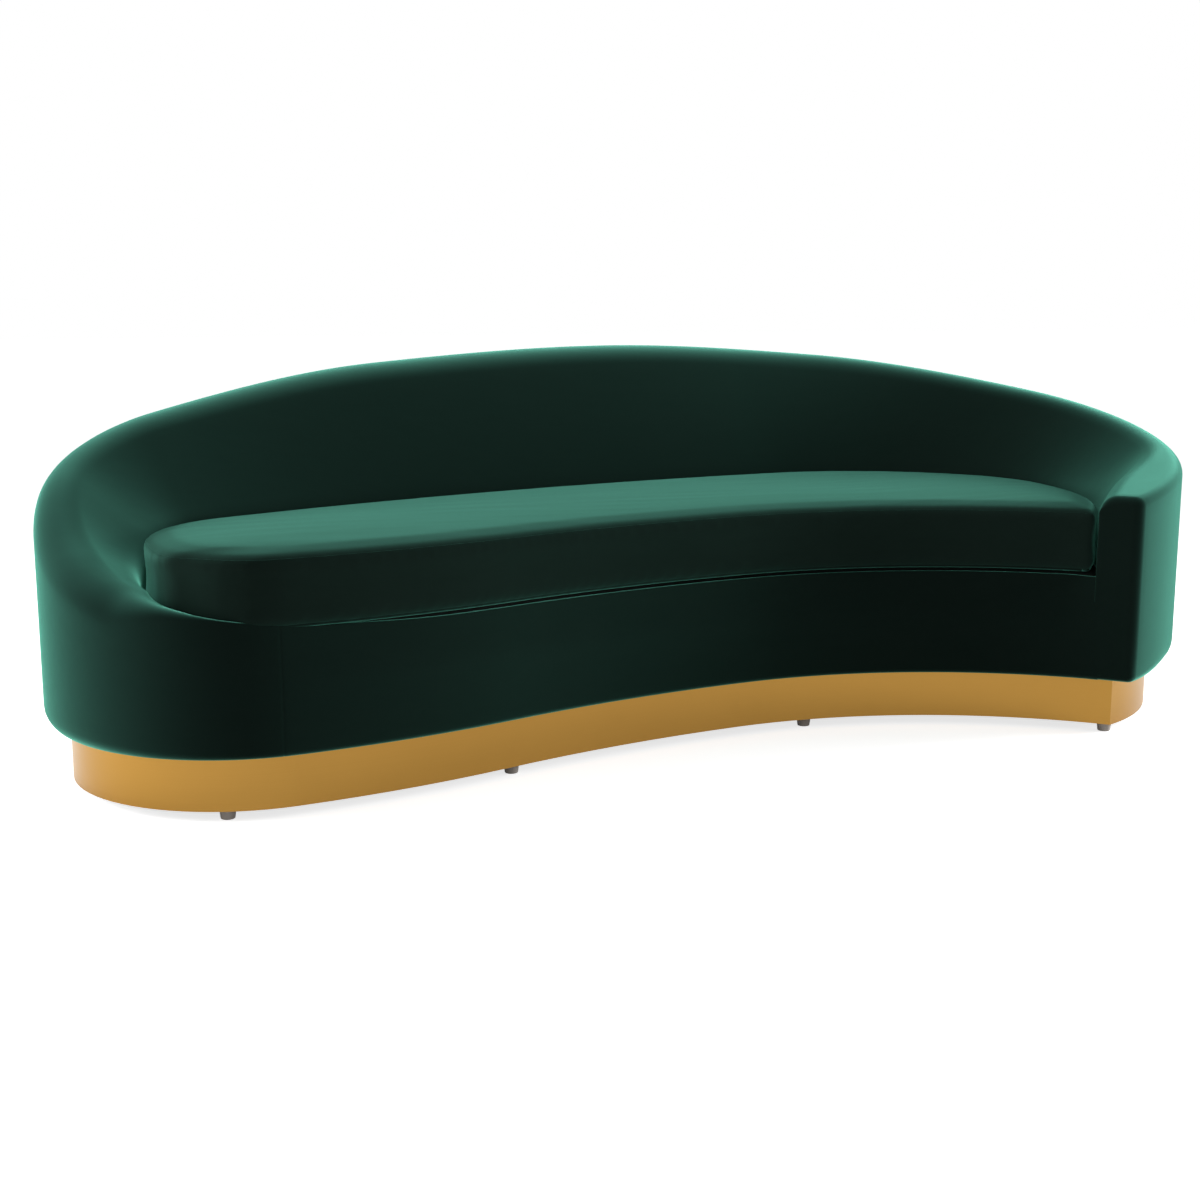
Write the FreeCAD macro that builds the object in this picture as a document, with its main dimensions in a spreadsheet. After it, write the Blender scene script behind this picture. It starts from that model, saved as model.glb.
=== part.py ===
import FreeCAD, Part
import math
import os
from collections import namedtuple

import Sketcher

# A curved sofa with a kidney-shaped plan: a padded shell that sweeps from a low arm on the right round
# the back and down to the seat's front on the left, one loose seat cushion, and a metal-clad plinth on feet.
# Millimetres, +Z up, the front towards -Y, the origin on the floor under the middle of the plan's box.

SIZES = {
    # Plan of the shell: tangent arcs walked from the sharp right front corner round the back to the front
    "corner_x": 839.0,
    "corner_y": -540.6,
    "wall_heading": 21.1,
    "right_wall_radius": 510.0,
    "right_wall_turn": 100.4,
    "right_back_radius": 710.0,
    "right_back_turn": 64.5,
    "back_radius": 4120.0,
    "back_turn": 20.1,
    "left_end_radius": 346.0,
    "left_end_turn": 161.2,
    "front_left_radius": 1770.0,
    "front_left_turn": 13.4,
    "front_mid_radius": 2300.0,
    "front_mid_turn": 13.1,
    # Plan of the well that the cushion lies in
    "wall_depth": 207.0,
    "arm_width": 80.0,
    "arm_side_radius": 640.0,
    "well_left_heading": 205.8,
    "well_left_radius": 235.0,
    "well_left_turn": 62.4,
    "well_tip_radius": 900.0,
    "well_tip_turn": 7.0,
    "well_front_radius": 105.0,
    # Levels
    "foot_height": 18.0,
    "shell_bottom": 112.0,
    "tuck_gap": 2.5,
    "rail_top": 288.0,
    "pad_bottom": 297.0,
    "deck_bottom": 296.0,
    "deck_top": 322.0,
    "cushion_bottom": 324.0,
    "seat_height": 450.0,
    "crown_height": 457.0,
    # Height of the rim at distances round the wall from the right front corner
    "rim_at_arm": 471.0,
    "rim_at_450": 553.0,
    "rim_at_900": 638.0,
    "rim_at_1450": 715.0,
    "rim_at_2000": 743.0,
    "rim_at_2600": 717.0,
    "rim_at_3100": 638.0,
    "rim_at_3400": 545.0,
    "rim_at_3640": 436.0,
    "rim_at_3860": 370.0,
    "rim_at_4112": 331.0,
    # Rounding of the shell's section
    "tuck_radius": 38.0,
    "front_tuck_radius": 10.0,
    "arm_roll_radius": 14.0,
    "back_roll_radius": 28.0,
    "end_roll_radius": 18.0,
    "seam_roll_radius": 4.0,
    "arm_brow_radius": 24.0,
    "back_brow_radius": 65.0,
    "arm_kink_height": 400.0,
    "back_kink_height": 430.0,
    "end_kink_height": 350.0,
    # Layers of the shell
    "cover_thickness": 2.0,
    "pad_skin": 3.2,
    "wadding_depth": 14.0,
    "panel_thickness": 5.0,
    "pad_thickness": 30.0,
    "top_pad": 40.0,
    "top_rail_height": 19.0,
    "top_rail_depth": 36.0,
    "board_thickness": 18.0,
    "shelf_thickness": 12.0,
    "fit_gap": 1.0,
    # Seat frame and deck
    "seat_board_wall_inset": 42.0,
    "seat_board_front_inset": 14.0,
    "front_rail_inset": 14.0,
    "front_edge_depth": 35.0,
    "rear_rail_face": 8.0,
    "rear_rail_back": 26.0,
    "seat_rib_drop": 12.0,
    "deck_wall_gap": 3.0,
    "deck_front_inset": 36.0,
    # Plinth
    "plinth_wall_inset": 50.0,
    "plinth_front_inset": 30.0,
    "skirt_thickness": 2.0,
    "skirt_clearance": 0.3,
    "plinth_board": 15.0,
    "plinth_ring": 12.0,
    "dust_cover_thickness": 0.8,
    # Feet and fasteners
    "foot_top_radius": 14.5,
    "foot_bottom_radius": 12.0,
    "foot_edge_radius": 1.5,
    "foot_inset": 55.0,
    "screw_radius": 2.5,
    "screw_length": 14.0,
    "bolt_radius": 4.0,
    "bolt_length": 24.0,
    "bolt_head_radius": 7.0,
    "bolt_head_height": 5.0,
    # Springs
    "wire_diameter": 4.0,
    "spring_bend_radius": 11.0,
    "spring_leg": 28.0,
    "clip_width": 22.0,
    "clip_depth": 14.0,
    "clip_thickness": 1.0,
    "clip_play": 0.2,
    "clip_grip": 5.0,
    # Cushion
    "cushion_side_gap": 6.0,
    "cushion_front_gap": 8.0,
    "boxing_draw": 4.0,
    "edge_round": 20.0,
    "crown_inset": 60.0,
    "cushion_cloth": 2.0,
    "zip_height": 22.0,
    "zip_thickness": 1.4,
    "zip_sweep": 17.0,
    "slider_length": 14.0,
    "slider_height": 9.0,
    "slider_thickness": 4.0,
}

doc = FreeCAD.newDocument("curved_sofa")
sheet = doc.addObject("Spreadsheet::Sheet", "sizes")
for row, (alias, value) in enumerate(SIZES.items(), start=1):
    sheet.set(f"A{row}", alias)
    sheet.set(f"B{row}", str(value))
    sheet.setAlias(f"B{row}", alias)
doc.recompute()

Vector = FreeCAD.Vector
UP = Vector(0, 0, 1)
Bend = namedtuple("Bend", "centre radius side")
Step = namedtuple("Step", "bend start end")
Station = namedtuple("Station", "origin inward heading rim depth roll brow brow_start kink")
parts = []


def size(alias):
    """A driving dimension from the sheet."""
    return float(sheet.get(alias))


def radians(alias):
    return math.radians(size(alias))


# Plan geometry: chains of tangent arcs

def ahead(angle):
    return Vector(math.cos(angle), math.sin(angle), 0)


def left_of(angle):
    return Vector(-math.sin(angle), math.cos(angle), 0)


def angle_of(vector):
    return math.atan2(vector.y, vector.x)


def walk(point, heading, turns):
    """Arcs, each a radius and a turn to the left, laid one after another; also where they end."""
    bends = []
    for radius, turn in turns:
        side = math.copysign(1, turn)
        centre = point + left_of(heading) * (side * radius)
        bends.append(Bend(centre, radius, side))
        heading += turn
        point = centre - left_of(heading) * (side * radius)
    return bends, point, heading


def inset(bend, distance):
    """The same arc moved towards the inside of the plan."""
    return Bend(bend.centre, bend.radius - bend.side * distance, bend.side)


def crossing(first, second, near):
    """The point where two circles cross, on the side of another point."""
    between = second.centre - first.centre
    along = (between.Length ** 2 + first.radius ** 2 - second.radius ** 2) / (2 * between.Length)
    rise = math.sqrt(first.radius ** 2 - along ** 2)
    unit = between * (1 / between.Length)
    across = Vector(-unit.y, unit.x, 0)
    choices = [first.centre + unit * along + across * (rise * side) for side in (1, -1)]
    return min(choices, key=lambda choice: (choice - near).Length)


def nested(first, second, radius, near):
    """An arc of a given radius inside two larger ones and tangent to both."""
    reach_first = Bend(first.centre, first.radius - radius, 1)
    reach_second = Bend(second.centre, second.radius - radius, 1)
    return Bend(crossing(reach_first, reach_second, near), radius, 1)


def touch(first, second):
    """The point where two tangent arcs of a chain meet."""
    if first.side != second.side:
        along = second.centre - first.centre
        return first.centre + along * (first.radius / along.Length)
    wide, tight = sorted((first, second), key=lambda bend: -bend.radius)
    along = tight.centre - wide.centre
    return wide.centre + along * (wide.radius / along.Length)


def closed_path(bends, corner):
    """Steps round a chain of arcs that starts and ends at a corner."""
    joints = [touch(first, second) for first, second in zip(bends, bends[1:])]
    corner = crossing(bends[-1], bends[0], corner)
    starts = [corner] + joints
    ends = joints + [corner]
    return [Step(bend, start, end) for bend, start, end in zip(bends, starts, ends)]


def sweep_angle(step, point):
    """Angle walked on an arc from its start to a point on it."""
    start = angle_of(step.start - step.bend.centre)
    angle = (angle_of(point - step.bend.centre) - start) * step.bend.side
    return angle % (2 * math.pi)


def backwards(path):
    """The same steps walked the other way."""
    turned = []
    for step in reversed(path):
        bend = step.bend and Bend(step.bend.centre, step.bend.radius, -step.bend.side)
        turned.append(Step(bend, step.end, step.start))
    return turned


def curve(step):
    """A step as a line or an arc."""
    if step.bend is None:
        return Part.LineSegment(step.start, step.end)
    first, last = step.start, step.end
    if step.bend.side < 0:
        first, last = last, first
    start = angle_of(first - step.bend.centre)
    end = angle_of(last - step.bend.centre)
    if end <= start:
        end += 2 * math.pi
    return Part.ArcOfCircle(Part.Circle(step.bend.centre, UP, step.bend.radius), start, end)


def wire_of(path, height=0):
    wire = Part.Wire([curve(step).toShape() for step in path])
    wire.translate(UP * height)
    return wire


CORNER = Vector(size("corner_x"), size("corner_y"), 0)
shell_turns = [(size(name + "_radius"), radians(name + "_turn"))
               for name in ("right_wall", "right_back", "back", "left_end", "front_left")]
shell_turns.append((size("front_mid_radius"), -radians("front_mid_turn")))
shell_bends, front_end, front_heading = walk(CORNER, radians("wall_heading"), shell_turns)
to_corner = CORNER - front_end
closing_radius = to_corner.Length ** 2 / (-2 * to_corner.dot(left_of(front_heading)))
shell_bends.append(Bend(front_end - left_of(front_heading) * closing_radius, closing_radius, -1))
WALL_ARCS = 3
LEFT_END = 3


def shell_path(wall, front):
    """The shell's outline, moved in by one distance along the wall and another along the front."""
    walls = [inset(bend, wall) for bend in shell_bends[:WALL_ARCS]]
    fronts = [inset(bend, front) for bend in shell_bends[LEFT_END + 1:]]
    end = shell_bends[LEFT_END]
    end = nested(walls[-1], fronts[0], end.radius - (wall + front) / 2, end.centre)
    return closed_path(walls + [end] + fronts, CORNER)


SHELL = shell_path(0, 0)


def along_shell(distance):
    """The point on the outline a distance round from the corner, and its heading."""
    for step in SHELL:
        length = step.bend.radius * sweep_angle(step, step.end)
        if distance <= length or step is SHELL[-1]:
            break
        distance -= length
    start = angle_of(step.start - step.bend.centre)
    angle = start + step.bend.side * distance / step.bend.radius
    heading = angle + step.bend.side * math.pi / 2
    return step.bend.centre + ahead(angle) * step.bend.radius, heading


# The well: the arm's inner side, the wall set in by its depth, a round left tip, and the shell's front

front_right = shell_bends[-1]
WELL_CORNER = crossing(Bend(CORNER, size("arm_width"), 1), front_right, Vector(0, 0, 0))
arm_limit = Bend(WELL_CORNER, size("arm_side_radius"), 1)
right_inner = inset(shell_bends[0], size("wall_depth"))
arm_inside = Bend(right_inner.centre, arm_limit.radius - right_inner.radius, 1)
arm_centre = crossing(arm_limit, arm_inside, Vector(0, 0, 0))
arm_side = Bend(arm_centre, arm_limit.radius, 1)
back_inner = inset(shell_bends[2], size("wall_depth"))
left_heading = radians("well_left_heading")
left_start = back_inner.centre - left_of(left_heading) * back_inner.radius
left_turns = [(size(name + "_radius"), radians(name + "_turn")) for name in ("well_left", "well_tip")]
left_bends, tip_end, tip_heading = walk(left_start, left_heading, left_turns)
WELL_WALLS = [arm_side, right_inner, inset(shell_bends[1], size("wall_depth")), back_inner] + left_bends


def well_path(wall, front):
    """The well's outline, moved in by one distance along its walls and another along its front."""
    walls = [inset(bend, wall) for bend in WELL_WALLS]
    fronts = [inset(bend, front) for bend in shell_bends[LEFT_END:]]
    radius = size("well_front_radius") - (wall + front) / 2
    near = tip_end + left_of(tip_heading) * radius
    return closed_path(walls + [nested(walls[-1], fronts[0], radius, near)] + fronts, WELL_CORNER)


WELL = well_path(0, 0)


def reach(origin, direction, path):
    """How far a ray goes before it meets a path."""
    hits = []
    for step in path:
        offset = origin - step.bend.centre
        half = offset.dot(direction)
        inside = half ** 2 - offset.dot(offset) + step.bend.radius ** 2
        if inside < 0:
            continue
        for side in (-1, 1):
            distance = -half + side * math.sqrt(inside)
            point = origin + direction * distance
            slack = 1e-6
            if distance > 1 and sweep_angle(step, point) <= sweep_angle(step, step.end) + slack:
                hits.append(distance)
    return min(hits)


# The wall's section: a vertical outside, a rolled rim, a leaning inside and a foot in the well

RIM_PLACES = (450, 900, 1450, 2000, 2600, 3100, 3400, 3640, 3860, 4112)
RIM = [(0, "arm")] + [(place, str(place)) for place in RIM_PLACES]
ARM_END = 450.0
END_START = 3300.0
WALL_END = 3890.0
SEAM = 4087.0
SQUARE_FROM = 250.0
ROLL_SHARE = 0.3
BROW_SHARE = 0.4
RIM_FLAT = 2.0
KINK_FADE_START = 14.0
KINK_FADE_LENGTH = 195.0
SOFT_TUCK_FROM = 200.0
SOFT_TUCK_TO = 3100.0


def blend(low, high, share):
    """A smooth change from one value to another as share goes from 0 to 1."""
    share = min(max(share, 0), 1)
    return low + (high - low) * share * share * (3 - 2 * share)


def rim_height(distance):
    """Height of the rim: a smooth curve through the heights in the sheet that never overshoots them."""
    places = [place for place, name in RIM]
    heights = [size("rim_at_" + name) for place, name in RIM]
    rises = [(heights[i + 1] - heights[i]) / (places[i + 1] - places[i]) for i in range(len(RIM) - 1)]
    slopes = [rises[0]]
    for before, after in zip(rises, rises[1:]):
        slopes.append(2 * before * after / (before + after) if before * after > 0 else 0)
    slopes.append(0)
    distance = min(max(distance, places[0]), places[-1])
    i = max(k for k in range(len(RIM) - 1) if places[k] <= distance)
    span = places[i + 1] - places[i]
    u = (distance - places[i]) / span
    keep = (1 + 2 * u) * (1 - u) ** 2
    return (heights[i] * keep + heights[i + 1] * (1 - keep)
            + span * u * (1 - u) * (slopes[i] * (1 - u) - slopes[i + 1] * u))


def station(distance):
    """The wall's section at a distance round from the corner; the first lies along the arm's front."""
    origin, heading = along_shell(distance)
    skew = angle_of(WELL_CORNER - CORNER) - radians("wall_heading") - math.pi / 2
    inward = ahead(heading + math.pi / 2 + skew * max(0, 1 - distance / SQUARE_FROM) ** 2)
    rim = rim_height(distance)
    depth = reach(origin, inward, WELL)
    arm_share = distance / ARM_END
    end_share = (distance - END_START) / (WALL_END - END_START)
    roll = blend(size("arm_roll_radius"), size("back_roll_radius"), arm_share)
    roll = min(blend(roll, size("end_roll_radius"), end_share), ROLL_SHARE * depth)
    roll = blend(roll, size("seam_roll_radius"), (distance - END_START) / (SEAM - END_START))
    brow = blend(size("arm_brow_radius"), size("back_brow_radius"), arm_share)
    brow = min(brow, BROW_SHARE * depth)
    brow_start = blend(depth - brow, roll + RIM_FLAT, arm_share)
    kink = blend(size("arm_kink_height"), size("back_kink_height"), arm_share)
    if distance > END_START:
        low = (rim - size("end_kink_height") - KINK_FADE_START) / KINK_FADE_LENGTH
        kink = blend(size("end_kink_height"), kink, low)
    return Station(origin, inward, heading, rim, depth, roll, brow, brow_start, kink)


def tuck_radius(distance):
    """Rounding of the shell's lower edge, which sharpens towards the corner and the front."""
    tuck = blend(size("front_tuck_radius"), size("tuck_radius"), distance / SOFT_TUCK_FROM)
    return blend(tuck, size("front_tuck_radius"), (distance - SOFT_TUCK_TO) / (SEAM - SOFT_TUCK_TO))


def contour(at, skin):
    """Points of the section a depth below its surface, from the wall over the rim to the foot."""
    tilt = math.sqrt(0.5)
    lift = math.hypot(at.depth - at.brow_start, at.kink - at.rim + at.brow)
    fall = math.atan2(at.kink - at.rim + at.brow, at.depth - at.brow_start)
    lean = fall + math.acos(min(1, at.brow / lift))
    roll = at.roll - skin
    brow = at.brow - skin
    middle = (lean + math.pi / 2) / 2
    centre = (at.brow_start, at.rim - at.brow)
    return {
        "wall_top": (skin, at.rim - at.roll),
        "roll_middle": (at.roll - roll * tilt, at.rim - at.roll + roll * tilt),
        "roll_top": (at.roll, at.rim - skin),
        "brow_top": (at.brow_start, at.rim - skin),
        "brow_middle": (centre[0] + brow * math.cos(middle), centre[1] + brow * math.sin(middle)),
        "brow_end": (centre[0] + brow * math.cos(lean), centre[1] + brow * math.sin(lean)),
        "kink": (at.depth - skin, at.kink - skin * math.tan(lean / 2)),
        "lean": lean,
    }


def section(at, start, steps):
    """Closed edges in a station's upright plane; a step is an end, or the middle and end of an arc."""
    def place(point):
        return at.origin + at.inward * point[0] + UP * point[1]

    edges = []
    here = start
    for step in steps + [(start,)]:
        if len(step) == 2:
            edges.append(Part.Arc(place(here), place(step[0]), place(step[1])).toShape())
        else:
            edges.append(Part.LineSegment(place(here), place(step[0])).toShape())
        here = step[-1]
    return edges


def upright_face(at, start, steps):
    return Part.Face(Part.Wire(section(at, start, steps)))


SECTION_SPACING = 50.0
SHARED_PLACES = sorted([SECTION_SPACING * i for i in range(int(SEAM / SECTION_SPACING) + 1)] + [WALL_END])
LEAST_STEP = 5.0
ARC_STEPS = 6


# Ways of making a sub-part

def keep(item, label):
    item.Label = label
    parts.append(item)
    return item


def solid(label, shape):
    """A sub-part whose shape is worked out from the sheet."""
    feature = doc.addObject("Part::Feature", label)
    feature.Shape = shape
    feature.Placement = FreeCAD.Placement()
    return keep(feature, label)


def corners(edges):
    """Points along a section, its arcs cut into short straight steps."""
    points = []
    for edge in edges:
        count = 2 if edge.Curve.TypeId == "Part::GeomLine" else ARC_STEPS + 1
        points += edge.discretize(count)[:-1]
    return points


def polygon(points):
    return Part.Face(Part.makePolygon(points + points[:1]))


def facets(before, after, inward):
    """Two triangles for each side between neighbouring sections, split the same way in every layer."""
    faces = []
    count = len(before)
    for i in range(count):
        high, low = i, (i + 1) % count
        if (before[low] - before[high]).dot(inward - UP) < 0:
            high, low = low, high
        faces.append(polygon([before[high], before[low], after[high]]))
        faces.append(polygon([before[low], after[low], after[high]]))
    return faces


def loft(label, first, last, profile):
    """A sub-part drawn through the wall's sections between two distances, in flat facets."""
    between = [place for place in SHARED_PLACES if first + LEAST_STEP < place < last - LEAST_STEP]
    places = [first] + between + [last]
    stations = [station(place) for place in places]
    rings = [corners(profile(at, place)) for at, place in zip(stations, places)]
    faces = [polygon(rings[0]), polygon(rings[-1])]
    for at, before, after in zip(stations, rings, rings[1:]):
        faces += facets(before, after, at.inward)
    sewn = Part.makeCompound(faces)
    sewn.sewShape()
    shape = Part.makeSolid(sewn.Shells[0])
    if shape.Volume < 0:
        shape.reverse()
    return solid(label, shape)


def plane(body, role):
    return next(item for item in body.Origin.OriginFeatures if item.Role == role)


def outline_sketch(body, name, paths, holes=(), hole_radius=None):
    """A flat sketch of closed paths and round holes, with the holes' radius bound to the sheet."""
    sketch = body.newObject("Sketcher::SketchObject", name)
    sketch.AttachmentSupport = [(plane(body, "XY_Plane"), "")]
    sketch.MapMode = "FlatFace"
    for path in paths:
        first = sketch.GeometryCount
        for step in path:
            sketch.addGeometry(curve(step), False)
        for i, step in enumerate(path):
            follower = path[(i + 1) % len(path)]
            leave = 1 if step.bend and step.bend.side < 0 else 2
            enter = 2 if follower.bend and follower.bend.side < 0 else 1
            sketch.addConstraint(Sketcher.Constraint(
                "Coincident", first + i, leave, first + (i + 1) % len(path), enter))
    for centre in holes:
        index = sketch.addGeometry(Part.Circle(centre, UP, 1.0), False)
        constraint = sketch.addConstraint(Sketcher.Constraint("Radius", index, size(hole_radius)))
        sketch.setExpression(f"Constraints[{constraint}]", f"sizes.{hole_radius}")
    return sketch


def plate(label, paths, bottom, height, holes=(), hole_radius=None):
    """A flat sub-part: closed paths padded upwards, its level and height bound to the sheet."""
    body = doc.addObject("PartDesign::Body", label)
    sketch = outline_sketch(body, label + "_outline", paths, holes, hole_radius)
    pad = body.newObject("PartDesign::Pad", label + "_pad")
    pad.Profile = sketch
    pad.setExpression("Length", height)
    body.setExpression("Placement.Base.z", bottom)
    return keep(body, label)


def band(path_outer, path_inner):
    """A strip between two open paths, as one closed path."""
    across = [Step(None, path_outer[-1].end, path_inner[-1].end)]
    back = [Step(None, path_inner[0].start, path_outer[0].start)]
    return path_outer + across + backwards(path_inner) + back


def front_strip(front, start, wall_limit):
    """The front from a distance round the outline to where it meets the wall moved in by a limit."""
    path = shell_path(front, front)[LEFT_END:]
    point, heading = along_shell(start)
    first = path[0].bend
    outwards = point - first.centre
    path[0] = Step(first, first.centre + outwards * (first.radius / outwards.Length), path[0].end)
    last = path[-1].bend
    path[-1] = Step(last, path[-1].start, crossing(last, inset(shell_bends[0], wall_limit), CORNER))
    return path


# Feet and plinth

FRONT_FEET = (3985, 4555, 5203, 5775)
BACK_FEET = (700, 1500, 2300, 3100)
BACK_FOOT_INSET = 1.6


def foot_places():
    places = []
    for distance in FRONT_FEET + BACK_FEET:
        point, heading = along_shell(distance)
        share = 1 if distance in FRONT_FEET else BACK_FOOT_INSET
        places.append(point + left_of(heading) * (size("foot_inset") * share))
    return places


def foot(label, place):
    """A turned glide: a straight taper with a rounded lower edge."""
    body = doc.addObject("PartDesign::Body", label)
    sketch = body.newObject("Sketcher::SketchObject", label + "_profile")
    sketch.AttachmentSupport = [(plane(body, "XZ_Plane"), "")]
    sketch.MapMode = "FlatFace"
    top = size("foot_height")
    points = [Vector(0, 0, 0), Vector(size("foot_bottom_radius"), 0, 0),
              Vector(size("foot_top_radius"), top, 0), Vector(0, top, 0)]
    for i in range(4):
        sketch.addGeometry(Part.LineSegment(points[i], points[(i + 1) % 4]), False)
    for i in range(4):
        sketch.addConstraint(Sketcher.Constraint("Coincident", i, 2, (i + 1) % 4, 1))
    sketch.addConstraint(Sketcher.Constraint("Coincident", 0, 1, -1, 1))
    sketch.addConstraint(Sketcher.Constraint("Horizontal", 0))
    sketch.addConstraint(Sketcher.Constraint("Horizontal", 2))
    sketch.addConstraint(Sketcher.Constraint("Vertical", 3))
    for line, alias in ((0, "foot_bottom_radius"), (2, "foot_top_radius"), (3, "foot_height")):
        constraint = sketch.addConstraint(Sketcher.Constraint("Distance", line, size(alias)))
        sketch.setExpression(f"Constraints[{constraint}]", f"sizes.{alias}")
    turned = body.newObject("PartDesign::Revolution", label + "_turned")
    turned.Profile = sketch
    turned.ReferenceAxis = (sketch, ["V_Axis"])
    turned.Angle = 360
    doc.recompute()
    rounded = body.newObject("PartDesign::Fillet", label + "_rounded")
    lower = [f"Edge{i}" for i, edge in enumerate(turned.Shape.Edges, start=1)
             if edge.Closed and edge.BoundBox.ZMax < top / 2]
    rounded.Base = (turned, lower)
    rounded.setExpression("Radius", "sizes.foot_edge_radius")
    body.Placement = FreeCAD.Placement(place, FreeCAD.Rotation())
    return keep(body, label)


def make_plinth():
    places = foot_places()
    for i, place in enumerate(places, start=1):
        foot(f"foot_{i}", place)
    screws = [Part.makeCylinder(size("screw_radius"), size("screw_length"), place + UP * size("foot_height"))
              for place in places]
    solid("foot_screws", Part.makeCompound(screws))
    wall = size("plinth_wall_inset")
    front = size("plinth_front_inset")
    skirt = size("skirt_thickness")
    inner = skirt + size("skirt_clearance")
    ring = inner + size("plinth_ring")
    plate("plinth_skirt", [shell_path(wall, front), shell_path(wall + skirt, front + skirt)],
          "sizes.foot_height", "sizes.shell_bottom - sizes.foot_height")
    floor_level = "sizes.foot_height + sizes.dust_cover_thickness"
    boards = shell_path(wall + inner, front + inner)
    plate("dust_cover", [boards], "sizes.foot_height", "sizes.dust_cover_thickness", places, "screw_radius")
    plate("plinth_floor", [boards], floor_level, "sizes.plinth_board", places, "screw_radius")
    ring_bottom = floor_level + " + sizes.plinth_board"
    ring_height = "sizes.shell_bottom + sizes.tuck_gap - 2 * sizes.plinth_board - " + f"({floor_level})"
    hollow = shell_path(wall + ring, front + ring)
    plate("plinth_wall", [boards, hollow], ring_bottom, ring_height)
    top_bottom = "sizes.shell_bottom + sizes.tuck_gap - sizes.plinth_board"
    plate("plinth_top", [boards], top_bottom, "sizes.plinth_board", bolt_places(), "bolt_radius")
    bottom = size("foot_height") + size("dust_cover_thickness") + size("plinth_board")
    height = size("shell_bottom") + size("tuck_gap") - size("plinth_board") - bottom
    inside = Part.Face(wire_of(hollow, bottom)).extrude(UP * height)
    ribs = [cross_board(x, bottom, height).common(inside) for x in RIB_PLACES]
    solid("plinth_ribs", Part.makeCompound(ribs))
    bolts = []
    for place in bolt_places():
        under = place + UP * (size("shell_bottom") + size("tuck_gap") - size("plinth_board"))
        shank = Part.makeCylinder(size("bolt_radius"), size("bolt_length"), under)
        head = Part.makeCylinder(size("bolt_head_radius"), size("bolt_head_height"),
                                 under - UP * size("bolt_head_height"))
        bolts.append(shank.fuse(head).removeSplitter())
    solid("plinth_bolts", Part.makeCompound(bolts))


RIB_PLACES = (-640, -330, -20, 290, 600)


def cross_board(x, bottom, height):
    """An upright board that runs from front to back, longer than it needs to be."""
    length = 1200.0
    thickness = size("board_thickness")
    return Part.makeBox(thickness, length, height, Vector(x - thickness / 2, -length / 2, bottom))


OUTSIDE_Y = 900.0
BOLT_BESIDE_RIB = 60.0
BOLT_BEHIND_FRONT = 230.0


def front_of(x, path):
    """Where a path is met from the front, at a place across the sofa."""
    start = Vector(x, -OUTSIDE_Y, 0)
    return start.y + reach(start, Vector(0, 1, 0), path)


def rear_of(x, path):
    """Where a path is met from behind, at a place across the sofa."""
    start = Vector(x, OUTSIDE_Y, 0)
    return start.y - reach(start, Vector(0, -1, 0), path)


def bolt_places():
    """Bolts between the ribs, about half way from the front to the back."""
    places = []
    for rib_x in RIB_PLACES:
        x = rib_x + BOLT_BESIDE_RIB
        places.append(Vector(x, front_of(x, WELL) + BOLT_BEHIND_FRONT, 0))
    return places


# Seat frame, springs and deck

def make_seat():
    rail = "sizes.rail_top - sizes.shell_bottom - sizes.tuck_gap - sizes.plinth_board"
    rail_bottom = "sizes.shell_bottom + sizes.tuck_gap + sizes.plinth_board"
    bottom = size("shell_bottom") + size("tuck_gap") + size("plinth_board")
    height = size("rail_top") - bottom
    board = size("board_thickness")
    seat = shell_path(size("seat_board_wall_inset"), size("seat_board_front_inset"))
    plate("seat_board", [seat], "sizes.shell_bottom + sizes.tuck_gap", "sizes.plinth_board",
          bolt_places(), "bolt_radius")
    rail_face = size("front_rail_inset")
    rail_back = rail_face + board
    outer, inner = (front_strip(front, FRONT_RAIL_START, FRONT_RAIL_END) for front in (rail_face, rail_back))
    plate("front_rail", [band(outer, inner)], rail_bottom, rail)
    clear_of_front = rail_back + size("fit_gap")
    rear_outer, rear_inner = (well_path(-size(name), clear_of_front)[:len(WELL_WALLS)]
                              for name in ("rear_rail_back", "rear_rail_face"))
    plate("rear_rail", [band(rear_outer, rear_inner)], rail_bottom, rail)
    rib_height = height - size("seat_rib_drop")
    inside = well_path(-size("rear_rail_face"), rail_back)
    between = Part.Face(wire_of(inside, bottom)).extrude(UP * rib_height)
    for i, x in enumerate(RIB_PLACES, start=1):
        solid(f"seat_rib_{i}", cross_board(x, bottom, rib_height).common(between))
    make_springs(rail_face + board / 2, -(size("rear_rail_back") + size("rear_rail_face")) / 2)
    deck = well_path(size("deck_wall_gap"), size("deck_front_inset"))
    plate("deck_pad", [deck], "sizes.deck_bottom",
          "sizes.deck_top - sizes.deck_bottom - sizes.cover_thickness")
    plate("deck_cover", [deck], "sizes.deck_top - sizes.cover_thickness", "sizes.cover_thickness")


FRONT_RAIL_START = 3900.0
FRONT_RAIL_END = 108.0
SPRING_PLACES = (-780, -560, -480, -250, -170, 60, 140, 370, 450, 690)


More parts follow.
